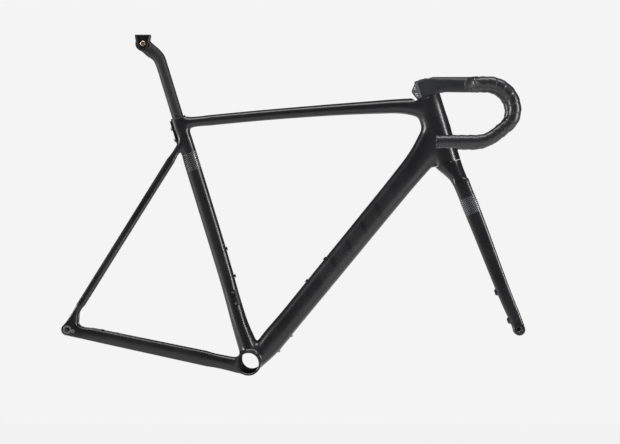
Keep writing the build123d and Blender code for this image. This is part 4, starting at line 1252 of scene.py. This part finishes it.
    def build(self, palette: Palette) -> bpy.types.Object:
        """Mould the frame, cut its bores and dress it."""
        chainstay = loft_mesh(self.chainstay_sections(), 60, 28)
        seatstay = loft_mesh(self.seatstay_sections(), 60, 24)
        dropout = self.dropout_mesh()
        reach = SIDE * (self.at.shell_half + 0.004)
        shell = rod_mesh(-reach, reach, self.shell_radius, 72)
        parts = [
            loft_mesh(self.head_sections(), 40, 56),
            loft_mesh(self.top_sections(), 90, 48),
            loft_mesh(self.down_sections(), 90, 56),
            loft_mesh(self.seat_sections(), 90, 48),
            shell,
            mirrored(chainstay), chainstay,
            mirrored(seatstay), seatstay,
            mirrored(dropout), dropout,
        ]
        piece = mould("frame_moulding", parts, self.voxel, self.zones(), 110, 0.0004)
        carve(piece, self.cuts())
        sharpen(piece, 0.6)
        return dress(piece, palette.frame, "frame", self.nodes)


# ---------------------------------------------------------------- fork
@dataclass
class Fork:
    """The fork: a crown with a wheel arch and two raked legs in one moulding."""

    at: Anchors
    crown_gap: float = 0.001
    crown_height: float = 0.070
    leg_depth: float = 0.0375
    tip_depth: float = 0.0262
    leg_width: float = 0.018
    tip_width: float = 0.010
    tyre_half: float = 0.022
    wheel_radius: float = 0.346
    tip_radius: float = 0.013
    spacing: float = 0.100
    insert_bore: float = 0.008
    steerer_bore: float = 0.0118
    boss_radius: float = 0.0068
    boss_bore: float = 0.0025
    boss_out: float = 0.0045
    boss_shares: tuple[float, float] = (0.715, 0.925)
    voxel: float = 0.0016

    def leg_sections(self) -> list[Section]:
        """Left leg, from inside the crown to the axle."""
        at = self.at
        start = at.crown_seat - self.crown_gap - self.crown_height
        length = start - (at.front_axle - at.head_top).dot(at.head_up)
        rake = (at.front_axle - at.head_top).dot(at.head_fore)
        top, tip = self.tyre_half + self.leg_width / 2, self.spacing / 2 + self.tip_width / 2
        rows = [(-0.08, 0.41), (0.0, 0.45), (0.23, 0.583), (0.4, 0.668)]
        rows += [(0.6, 0.765), (0.78, 0.865), (0.93, 0.985), (0.99, 1.0)]
        return [
            Section(
                at.head(start - length * s, rake * r, top + (tip - top) * s),
                at.head_up,
                self.leg_width + (self.tip_width - self.leg_width) * s,
                self.leg_depth + (self.tip_depth - self.leg_depth) * s,
                2.4,
            )
            for s, r in rows
        ]

    def crown_sections(self) -> list[Section]:
        """Crown, from the head tube's lower face to the legs, hollowed behind by the fairing's curve."""
        at = self.at
        low = at.crown_seat - self.crown_gap
        rows = [(-0.004, 0.0025, 0.0595, 0.060), (0.0, 0.0025, 0.0590, 0.060)]
        rows += [(0.012, 0.0060, 0.0520, 0.063), (0.024, 0.0102, 0.0445, 0.068)]
        rows += [(0.040, 0.0150, 0.0375, 0.0735), (0.056, 0.0170, 0.0345, 0.0775)]
        rows += [(0.074, 0.0186, 0.0330, 0.0800)]
        return [Section(at.head(low - q, fore), at.head_up, w, d, 2.6) for q, fore, d, w in rows]

    def build(self, palette: Palette) -> bpy.types.Object:
        """Mould the fork, cut its faces and bores and dress it."""
        at, axle = self.at, self.at.front_axle
        low = axle + SIDE * (self.spacing / 2)
        tip = rod_mesh(low, low + SIDE * self.tip_width, self.tip_radius)
        legs = joined([loft_mesh(self.leg_sections(), 80, 40), tip])
        half = SIDE * self.tyre_half
        crown = add_object("crown", loft_mesh(self.crown_sections(), 40, 56))
        carve(crown, [rod_mesh(axle - half, axle + half, self.wheel_radius, 256)])
        bosses = [self.boss(share) for share in self.boss_shares]
        zones = []
        for side in Side:
            shoulder = at.head(at.crown_seat - 0.062, 0.018, 0.031 * side.value)
            tip_top = axle + Vector((-0.008, 0.055 * side.value, 0.018))
            zones += [SoftZone(shoulder, 0.042, 0.95), SoftZone(tip_top, 0.024, 0.25)]
        zones.append(SoftZone(at.head(at.crown_seat - 0.045, 0.012), 0.034, 0.7))
        parts = [mirrored(legs), legs, taken(crown), *bosses]
        piece = mould("fork_moulding", parts, self.voxel, zones, 90, 0.0003, 4)
        seat, far = at.crown_seat, SIDE * PAST_ALL
        cuts = [
            rod_mesh(at.head(seat - self.crown_gap), at.head(seat + 0.05), 0.06),
            rod_mesh(axle - far, axle + far, self.insert_bore, 40),
            rod_mesh(at.head(seat - 0.1), at.head(seat + 0.02), self.steerer_bore, 40),
        ]
        cuts += [self.boss_hole(share) for share in self.boss_shares]
        carve(piece, cuts)
        sharpen(piece, 0.6)
        nodes = ("fork_crown", "fork_leg_left", "fork_leg_right")
        return dress(piece, palette.fork, "fork", nodes)

    def boss_point(self, share: float) -> Vector:
        """Rear face of a brake boss, at a share of the way down the left leg."""
        first, last = -0.08, 0.99
        one = Loft(self.leg_sections()).section((share - first) / (last - first))
        return one.centre - self.at.head_fore * (one.depth / 2 + self.boss_out)

    def boss(self, share: float) -> bmesh.types.BMesh:
        """Round brake boss behind the left leg."""
        point = self.boss_point(share)
        return rod_mesh(point, point + self.at.head_fore * 0.014, self.boss_radius, 32)

    def boss_hole(self, share: float) -> bmesh.types.BMesh:
        """Threaded hole of a brake boss."""
        point, fore = self.boss_point(share), self.at.head_fore
        return rod_mesh(point - fore * 0.004, point + fore * 0.010, self.boss_bore, 24)


# ---------------------------------------------------------------- cockpit
@dataclass
class Cockpit:
    """One-piece stem and handlebar, with its tape, plugs, cap and clamp bolts."""

    at: Anchors
    stem_height: float = 0.0388
    stem_width: float = 0.041
    stem_low: float = 0.0110
    stem_top: float = 0.0456
    clamp_reach: float = 0.036
    bar_ahead: float = 0.1050
    bar_rise: float = 0.0286
    bar_reach: float = 0.0904
    bar_drop: float = 0.1302
    bar_half: float = 0.210
    bar_radius: float = 0.012
    bend: float = 0.030
    hook_radii: tuple[float, float, float] = (0.059, 0.045, 0.075)
    slant_top: float = 0.0815
    slant_run: float = 0.0606
    end_length: float = 0.172
    tape_start: float = 0.100
    tape_radius: float = 0.0152
    tape_pitch: float = 0.0205
    tape_sink: float = 0.0010
    tape_lap: float = 0.0009
    lap_share: float = 0.88
    steerer_radius: float = 0.01435
    slit: float = 0.0014
    ridge_up: float = 0.021
    ridge_fore: float = -0.0285
    face_fore: float = -0.0275
    bolt_heights: tuple[float, float] = (0.0120, 0.0255)
    bolt_pocket: float = 0.0050

    @property
    def bar_centre(self) -> Vector:
        """Middle of the handlebar."""
        return self.at.head_top + Vector((self.bar_ahead, 0, self.bar_rise))

    def drop_run(self) -> Run:
        """Path of the left side of the bar, from the tape's start to the bar end."""
        centre, side = self.bar_centre, self.bar_half
        front, low = centre.x + self.bar_reach, centre.z - self.bar_drop
        corners = [
            centre + SIDE * self.tape_start,
            centre + SIDE * side,
            Vector((front, side, centre.z)),
            Vector((front, side, centre.z - self.slant_top)),
            Vector((front - self.slant_run, side, low)),
            Vector((front - self.end_length, side, low)),
        ]
        return Run(corners, [self.bend, *self.hook_radii], step=0.0011)

    def tape_mesh(self) -> bmesh.types.BMesh:
        """Left bar tape: a spiral of overlapping wraps with slightly puckered edges."""
        run = self.drop_run()

        def radius(distance: float, turn: float) -> float:
            """Radius of the wrapped tape, higher towards each wrap's edge."""
            spiral = distance / self.tape_pitch + turn
            phase, share = spiral % 1.0, self.lap_share
            lap = phase / share if phase < share else (1.0 - phase) / (1.0 - share)
            strand = math.tau * (turn - math.floor(spiral))
            pucker = 0.00007 * math.sin(2.37 * strand) + 0.00006 * math.sin(1.61 * strand)
            taper = min(1.0, 0.86 + distance / 0.012)
            rise = self.tape_lap * lap * lap * (3 - 2 * lap) + pucker * lap
            return (self.tape_radius - self.tape_sink + rise) * taper

        return sweep_mesh(run, 80, radius)

    def stem_sections(self) -> list[Section]:
        """Rounded boxes from behind the clamp to the front of the bar."""
        low, top = self.stem_low, self.stem_top
        rows = [(-0.046, -0.016, top, 1.0, 7.0), (0.010, -0.012, top, 1.0, 6.0)]
        rows += [(0.028, 0.004, top, 0.99, 4.2), (0.040, low, top, 0.95, 3.4)]
        rows += [(0.065, low + 0.0003, top, 0.94, 3.3), (0.088, low, top, 1.05, 3.2)]
        rows += [(0.104, low + 0.0004, top, 1.20, 4.0), (0.115, low + 0.0025, top - 0.0025, 1.18, 3.4)]
        rows += [(0.1215, low + 0.007, top - 0.0075, 0.95, 2.8)]
        rows += [(0.1240, low + 0.012, top - 0.0125, 0.70, 2.4)]
        head_top, width = self.at.head_top, self.stem_width
        return [
            Section(head_top + Vector((x, 0, (a + b) / 2)), FORE, width * wide, b - a, squareness)
            for x, a, b, wide, squareness in rows
        ]

    def top_mesh(self) -> bmesh.types.BMesh:
        """Left half of the bar's top, from the stem to inside the tape."""
        rows = [(0.0, 0.0300, 0.0350), (0.025, 0.0295, 0.0340), (0.055, 0.0265, 0.0300)]
        rows += [(0.085, 0.0243, 0.0252), (self.tape_start + 0.006, 0.0240, 0.0240)]
        sections = [Section(self.bar_centre + SIDE * y, SIDE, high, deep) for y, high, deep in rows]
        path = Loft(sections)

        def place(share: float, turn: float) -> Vector:
            """Surface point of the oval top, for a share of its length and a share of a turn."""
            one = path.section(share)
            fore = FORE * (math.cos(turn * math.tau) * one.depth / 2)
            return one.centre + fore + UP * (math.sin(turn * math.tau) * one.width / 2)

        return wrap_grid(36, 44, place)

    def clamp_cuts(self) -> list[bmesh.types.BMesh]:
        """Flat faces of the clamp: its base, its top and the wedge at its back."""
        at, far = self.at, 0.06
        base = block_mesh(at.head(-0.03, self.clamp_reach - far), at.head_up, 0.12, 2 * far, 0.06)
        top = block_mesh(at.head(self.stem_height + 0.03, 0.0), at.head_up, 0.12, 0.16, 0.06)
        cuts = [base, top]
        ridge = at.head(self.ridge_up, self.ridge_fore)
        for target in (at.head(0, -0.0194), at.head(self.stem_height, -0.0134)):
            run = (target - ridge).normalized()
            out = SIDE.cross(run).normalized()
            out = out if out.dot(at.head_fore) < 0 else -out
            cuts.append(block_mesh(ridge + out * 0.03 + run * 0.01, run, 0.12, 0.06, 0.08))
        for side in Side:
            out = self.facet_out(side)
            face = at.head(0.02, self.face_fore) + out * 0.03
            turn = Matrix((out.cross(at.head_up).normalized(), out, at.head_up)).transposed().to_4x4()
            sizes = Matrix.Diagonal((0.12, 0.06, 0.12, 1))
            bm = bmesh.new()
            bmesh.ops.create_cube(bm, size=1.0, matrix=Matrix.Translation(face) @ turn @ sizes)
            bmesh.ops.recalc_face_normals(bm, faces=bm.faces)
            cuts.append(bm)
        return cuts

    def facet_out(self, side: Side) -> Vector:
        """Outward direction of one of the wedge's two faces."""
        return (-self.at.head_fore * 0.74 + SIDE * side.value * 0.67).normalized()

    def bolt_seats(self) -> list[tuple[Vector, Vector]]:
        """Seats and outward directions of the two clamp bolts, in the wedge's right face."""
        out, at = self.facet_out(Side.RIGHT), self.at
        shift = SIDE * -0.0105 + at.head_fore * 0.0095
        return [(at.head(up, self.face_fore) + shift, out) for up in self.bolt_heights]

    def build_moulding(self, palette: Palette) -> bpy.types.Object:
        """Stem and bar tops in one moulding."""
        at = self.at
        centre = self.bar_centre
        stem = add_object("stem_blank", loft_mesh(self.stem_sections(), 70, 72))
        carve(stem, self.clamp_cuts())
        zones = [SoftZone(centre + SIDE * side, 0.034, 0.9) for side in (-0.028, 0.028)]
        left = self.top_mesh()
        parts = [taken(stem), mirrored(left), left]
        piece = mould("cockpit_moulding", parts, 0.0012, zones, 30, 0.0002, 3)
        cuts = [
            rod_mesh(at.head(-0.01), at.head(0.06), self.steerer_radius, 48),
            block_mesh(at.head(0.02, -0.03), at.head_up, self.slit, 0.032, 0.08),
        ]
        for point, out in self.bolt_seats():
            cuts.append(rod_mesh(point - out * 0.002, point + out * 0.03, self.bolt_pocket, 32))
        carve(piece, cuts)
        sharpen(piece, 0.5)
        return dress(piece, palette.cockpit, "fork", ("stem", "handlebar_top"))

    def build_fasteners(self, palette: Palette) -> None:
        """Clamp bolts, top cap and preload bolt."""
        at = self.at
        bolts = [
            SocketBolt(point - out * 0.003, out, 0.0043, 0.0042, 0.0024, 0.008).mesh()
            for point, out in self.bolt_seats()
        ]
        dress(add_object("stem_bolts", joined(bolts)), palette.steel, "fork", ("stem_clamp_bolts",))
        h = self.stem_height
        profile = [(0.0052, h - 0.002), (0.0150, h - 0.002), (0.0155, h + 0.0006), (0.0146, h + 0.0018)]
        profile += [(0.0120, h + 0.0024), (0.0056, h + 0.0024), (0.0052, h + 0.0018), (0.0052, h - 0.002)]
        cap = turned_mesh(at.head(0), at.head_up, profile, 64)
        dress(add_object("top_cap", cap), palette.black, "fork", ("stem_top_cap",))
        bolt = SocketBolt(at.head(h + 0.0008), at.head_up, 0.0048, 0.0024, 0.003, 0.028).mesh()
        dress(add_object("top_cap_bolt", bolt), palette.dark_steel, "fork", ("preload_bolt",))

    def plug_mesh(self, end: Vector) -> bmesh.types.BMesh:
        """Left end plug: a domed cap with a sunken middle and an expander behind it."""
        r = self.tape_radius
        profile = [(0, -0.012), (0.0090, -0.012), (0.0090, 0.0), (r - 0.0008, 0.0), (r - 0.0002, 0.0007)]
        profile += [(r - 0.0003, 0.0018), (r - 0.0016, 0.0030), (r - 0.0040, 0.0035), (r - 0.0052, 0.0031)]
        profile += [(r - 0.0062, 0.0018), (0.0040, 0.0016), (0, 0.0020)]
        return turned_mesh(end, -FORE, profile, 56)

    def build_tape(self, palette: Palette) -> None:
        """Tape, finishing bands and end plugs on both sides."""
        run = self.drop_run()
        tape, plug = self.tape_mesh(), self.plug_mesh(run.points[-1])
        outline = ring_profile(self.bar_radius, self.tape_radius + 0.0009, 0.0004, 0.0125, 0.0006)
        band = turned_mesh(run.points[0], SIDE, outline, 56)
        for side in Side:
            name = side.label
            bm = tape.copy() if side is Side.LEFT else mirrored(tape)
            nodes = (f"bar_tape_{name}", f"handlebar_drop_{name}")
            dress(add_object(f"tape_{name}", bm, smooth=0.9), palette.tape, "fork", nodes)
            bm = plug.copy() if side is Side.LEFT else mirrored(plug)
            nodes = (f"bar_end_plug_{name}",)
            dress(add_object(f"plug_{name}", bm), palette.plug, "fork", nodes)
        bands = joined([mirrored(band), band])
        dress(add_object("finishing_bands", bands), palette.rubber, "fork", ("finishing_tape",))

    def build(self, palette: Palette) -> None:
        """Build every piece of the cockpit."""
        self.build_moulding(palette)
        self.build_fasteners(palette)
        self.build_tape(palette)


# ---------------------------------------------------------------- seatpost and saddle clamp
@dataclass
class Seatpost:
    """Straight shaft with a forward-convex bend into a set-back round head."""

    at: Anchors
    radius: float = 0.0127
    exposed: float = 0.134
    insert: float = 0.166
    head_radius: float = 0.0170
    head_half: float = 0.0155
    bolt_bore: float = 0.0034
    pocket_radius: float = 0.0146
    pocket_depth: float = 0.0035

    def sections(self) -> list[Section]:
        """Shaft, shoulder and neck."""
        at = self.at
        clamp = at.clamp
        lean = (at.seat_up - at.seat_fore * 0.95).normalized()
        wide = 2 * self.radius
        heights = (-self.insert, -self.insert * 0.5, 0.0, self.exposed * 0.6, self.exposed * 0.88)
        sections = [Section(at.seat(up), at.seat_up, wide, wide, 2.25) for up in heights]
        bend = at.seat(self.exposed + 0.0095, -0.0022)
        sections.append(Section(bend, (at.seat_up * 3 + lean).normalized(), 0.0262, 0.0272, 2.3))
        sections.append(Section(clamp.lerp(bend, 0.45), lean, 0.0285, 0.0305, 2.3))
        sections.append(Section(clamp.lerp(bend, 0.12), lean, 0.0300, 0.0310, 2.4))
        return sections

    def build(self, palette: Palette) -> bpy.types.Object:
        """Mould the post, cut its cross bore and dress it."""
        clamp = self.at.clamp
        half = SIDE * self.head_half
        head = rod_mesh(clamp - half, clamp + half, self.head_radius, 64)
        zones = [SoftZone(clamp + self.at.seat_fore * 0.012 - self.at.seat_up * 0.012, 0.030, 1.0)]
        parts = [loft_mesh(self.sections(), 110, 48), head]
        piece = mould("seatpost_moulding", parts, 0.0012, zones, 36, 0.0002, 3)
        far = SIDE * 0.1
        pocket = SIDE * (self.head_half - self.pocket_depth)
        cuts = [rod_mesh(clamp - far, clamp + far, self.bolt_bore, 32)]
        cuts += [rod_mesh(clamp + pocket * s, clamp + far * s, self.pocket_radius, 64) for s in (-1, 1)]
        carve(piece, cuts)
        sharpen(piece, 0.6)
        return dress(piece, palette.post, "seatpost", ("seatpost",))


@dataclass
class SaddleClamp:
    """Side clamp: two trapezoid ears with rail grooves, a cross bolt and its nut."""

    at: Anchors
    inner: float = 0.0164
    thickness: float = 0.0070
    radius: float = 0.0170
    rim: float = 0.0012
    dish: float = 0.0016
    rail_radius: float = 0.0035
    rail_drop: float = 0.0015
    bolt_bore: float = 0.0031

    def ear_mesh(self) -> bmesh.types.BMesh:
        """Left ear with a raised rim and a dished middle."""
        clamp = self.at.clamp
        top, low = self.radius + 0.003, -self.radius + 0.002
        front = [(0.0175, top), (0.0180, top - 0.003), (0.0165, top - 0.012), (0.0085, low + 0.002)]
        front.append((0.006, low))
        back = [(-x, z) for x, z in reversed(front)]
        points = [clamp + Vector((x, 0, z)) for x, z in back[-1:] + front + back[:-1]]
        ear = plate_mesh(points, self.inner, self.inner + self.thickness - self.rim)
        outer = max(ear.faces, key=lambda face: face.calc_center_median().y)
        bmesh.ops.inset_region(ear, faces=[outer], thickness=0.0022, depth=0.0)
        bmesh.ops.translate(ear, verts=list(outer.verts), vec=(0, self.rim, 0))
        bmesh.ops.inset_region(ear, faces=[outer], thickness=0.0016, depth=0.0)
        bmesh.ops.translate(ear, verts=list(outer.verts), vec=(0, -self.dish, 0))
        return bevelled(ear, 0.0005)

    def build(self, palette: Palette) -> None:
        """Build the ears, the bolt and the nut."""
        clamp = self.at.clamp
        left = self.ear_mesh()
        for side, bm in ((Side.RIGHT, mirrored(left)), (Side.LEFT, left)):
            ear = add_object(f"clamp_ear_{side.label}", bm, smooth=0.4)
            rail = clamp + Vector((0, self.inner * side.value, self.radius - self.rail_drop))
            cuts = [
                rod_mesh(rail - FORE * 0.05, rail + FORE * 0.05, self.rail_radius, 40),
                rod_mesh(clamp - SIDE * 0.1, clamp + SIDE * 0.1, self.bolt_bore, 32),
            ]
            carve(ear, cuts)
            sharpen(ear, 0.4)
            nodes = (f"saddle_ear_{side.label}",)
            dress(ear, palette.black, "saddle_clamp", nodes)
        out = self.inner + self.thickness
        bolt = SocketBolt(clamp - SIDE * out, -SIDE, 0.0057, 0.0040, 0.0029, 2 * out).mesh()
        nodes = ("saddle_clamp_bolt",)
        dress(add_object("clamp_bolt", bolt), palette.bronze, "saddle_clamp", nodes)
        outline = ring_profile(self.bolt_bore, 0.0057, out - 0.0005, out + 0.0038, 0.0006)
        nut = turned_mesh(clamp, SIDE, outline, 40)
        dress(add_object("clamp_nut", nut), palette.steel, "saddle_clamp", ("saddle_clamp_nut",))


# ---------------------------------------------------------------- small frame fittings
@dataclass
class Fittings:
    """Rings, bolts and covers on the frame and fork."""

    at: Anchors
    axle_bore: float = 0.006
    plug_radius: float = 0.0058
    fork_plug_side: float = 0.0585
    frame_plug_side: float = 0.0790
    guide_half: float = 0.024
    guide_radius: float = 0.0231
    guide_inside: float = 0.0222
    plate_middle: float = -0.033
    bolt_half_pitch: float = 0.0133

    def axle_rings(self, palette: Palette) -> None:
        """Metal rings in the fork tips."""
        ring = turned_mesh(
            self.at.front_axle, SIDE, ring_profile(self.axle_bore, 0.0080, 0.0496, 0.0603, 0.0005), 56
        )
        for name, bm in (("right", mirrored(ring)), ("left", ring)):
            nodes = (f"fork_axle_insert_{name}",)
            dress(add_object(f"fork_ring_{name}", bm), palette.dark_steel, "fork", nodes)

    def axle_plugs(self, palette: Palette) -> None:
        """Thin dust plugs in the left ends of both axle bores."""
        r = self.plug_radius
        profile = [(0, -0.0012), (r, -0.0012), (r, 0), (r - 0.0006, 0.0005), (0, 0.0005)]
        for body, axle, out in (
            ("fork", self.at.front_axle, self.fork_plug_side),
            ("frame", self.at.rear_axle, self.frame_plug_side),
        ):
            plug = turned_mesh(axle + SIDE * out, SIDE, profile, 40)
            dress(add_object(f"dust_plug_{body}", plug), palette.rubber, body)

    def cable_guide(self, palette: Palette) -> None:
        """Curved cable guide in the middle of the shell, low at the back."""
        half, far = SIDE * self.guide_half, SIDE * 0.05
        guide = add_object("cable_guide", rod_mesh(-half, half, self.guide_radius, 72))
        centre = Vector((0.0076, 0, 0.0100))
        carve(guide, [rod_mesh(centre - far, centre + far, self.guide_inside, 72)])
        sharpen(guide)
        dress(guide, palette.rubber, "frame")

    def seat_bolts(self, palette: Palette) -> None:
        """Two bolts in the seat clamp plate."""
        at = self.at
        heights = (self.plate_middle - self.bolt_half_pitch, self.plate_middle + self.bolt_half_pitch)
        seats = [at.seat(up, -0.0205) for up in heights]
        bolts = [SocketBolt(seat, -at.seat_fore, 0.0040, 0.0030, 0.0024, 0.004).mesh() for seat in seats]
        dress(add_object("seat_bolts", joined(bolts)), palette.steel, "frame", ("seat_clamp_bolts",))

    def build(self, palette: Palette) -> None:
        """Build all fittings."""
        self.axle_rings(palette)
        self.axle_plugs(palette)
        self.cable_guide(palette)
        self.seat_bolts(palette)


# ---------------------------------------------------------------- stage
@dataclass
class Studio:
    """Pale floor, soft lights and the camera."""

    floor_height: float = -0.19
    camera_place: Vector = field(default_factory=lambda: Vector((0.2439, -18.0, 0.3173)))
    camera_target: Vector = field(default_factory=lambda: Vector((0.1382, 0, 0.3173)))
    lit_point: Vector = field(default_factory=lambda: Vector((0.12, 0, 0.33)))
    lens: float = 464.5
    pale: float = 0.905
    soft_strength: float = 0.05
    floor_half: float = 30.0

    def build_camera(self) -> None:
        """Long lens, level with the frame, from its right side."""
        data = bpy.data.cameras.new("camera")
        data.lens = self.lens
        data.sensor_width = 36.0
        data.clip_end = 100.0
        camera = bpy.data.objects.new("camera", data)
        camera.location = self.camera_place
        camera.rotation_mode = "QUATERNION"
        camera.rotation_quaternion = (self.camera_target - self.camera_place).to_track_quat("-Z", "Y")
        bpy.context.scene.collection.objects.link(camera)
        bpy.context.scene.camera = camera

    def build_world(self) -> None:
        """Pale backdrop that lights the object only softly."""
        world = bpy.data.worlds.new("studio")
        bpy.context.scene.world = world
        world.use_nodes = True
        graph = Graph(world.node_tree)
        output = graph.node("OutputWorld")
        seen, soft = graph.node("Background"), graph.node("Background")
        seen.inputs["Color"].default_value = (self.pale, self.pale, self.pale, 1)
        soft.inputs["Color"].default_value = (0.9, 0.93, 1.0, 1)
        soft.inputs["Strength"].default_value = self.soft_strength
        mix = graph.node("MixShader")
        graph.feed(mix.inputs[0], graph.node("LightPath").outputs["Is Camera Ray"])
        graph.feed(mix.inputs[1], soft.outputs[0])
        graph.feed(mix.inputs[2], seen.outputs[0])
        graph.feed(output.inputs["Surface"], mix.outputs[0])

    def build_floor(self) -> None:
        """Wide pale floor below the frame."""
        bm = bmesh.new()
        bmesh.ops.create_grid(bm, x_segments=1, y_segments=1, size=self.floor_half)
        bmesh.ops.translate(bm, verts=bm.verts, vec=(0, 0, self.floor_height))
        floor = add_object("floor", bm)
        made = bpy.data.materials.new("pale_floor")
        made.use_nodes = True
        graph = Graph(made.node_tree)
        output = graph.node("OutputMaterial")
        glow, matte, mix = graph.node("Emission"), graph.node("BsdfDiffuse"), graph.node("MixShader")
        glow.inputs["Color"].default_value = (self.pale, self.pale, self.pale, 1)
        matte.inputs["Color"].default_value = (0.8, 0.8, 0.8, 1)
        away = graph.node("VectorMath", operation="LENGTH")
        graph.feed(away.inputs[0], graph.node("TexCoord").outputs["Object"])
        glowing = graph.ramp(away.outputs["Value"], 0.6, 2.5, 0.93, 1.0)
        path = graph.node("LightPath").outputs["Is Camera Ray"]
        graph.feed(mix.inputs[0], graph.math("MULTIPLY", glowing, graph.ramp(path, 0, 1, 0.05, 1.0)))
        graph.feed(mix.inputs[1], matte.outputs[0])
        graph.feed(mix.inputs[2], glow.outputs[0])
        graph.feed(output.inputs["Surface"], mix.outputs[0])
        floor.data.materials.append(made)

    def light(self, name: str, place: Vector, size: tuple[float, float], power: float) -> None:
        """Rectangular soft light aimed at the middle of the frame."""
        data = bpy.data.lights.new(name, "AREA")
        data.shape = "RECTANGLE"
        data.size, data.size_y = size
        data.energy = power
        lamp = bpy.data.objects.new(name, data)
        lamp.location = place
        lamp.rotation_mode = "QUATERNION"
        lamp.rotation_quaternion = (self.lit_point - place).to_track_quat("-Z", "Y")
        bpy.context.scene.collection.objects.link(lamp)

    def build(self) -> None:
        """Build the stage."""
        self.build_camera()
        self.build_world()
        self.build_floor()
        self.light("top_softbox", Vector((0.1, -0.5, 3.0)), (3.2, 1.0), 60.0)
        self.light("rear_strip", Vector((-3.2, -0.6, 0.9)), (0.6, 2.2), 90.0)
        self.light("front_strip", Vector((2.9, -1.5, 0.7)), (0.35, 2.2), 70.0)
        bpy.context.scene.view_settings.view_transform = "Standard"


def dress_cad_nodes(palette: Palette) -> None:
    """Give every CAD node that is still shown its finish; the rear brake inserts are blackened."""
    slots = {entry["node"]: entry["material_slot"] for entry in frame["record"]["subparts"]}
    for name, node in frame["nodes"].items():
        if node.hide_render:
            continue
        material = palette.black if name == "rear_brake_inserts" else palette.for_slot(slots[name])
        for holder in node.material_slots:
            holder.material = material
        if not node.material_slots:
            node.data.materials.append(material)


def main() -> None:
    """Build the bicycle frame, piece by piece."""
    logging.basicConfig(level=logging.INFO, format="%(name)s %(message)s")
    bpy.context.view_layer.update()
    anchors = Anchors.from_frame(frame)
    Studio().build()
    palette = Palette(anchors)
    MainFrame(anchors).build(palette)
    Fork(anchors).build(palette)
    Cockpit(anchors).build(palette)
    Seatpost(anchors).build(palette)
    SaddleClamp(anchors).build(palette)
    Fittings(anchors).build(palette)
    dress_cad_nodes(palette)
    bpy.context.view_layer.update()


if __name__ == "__main__":
    main()
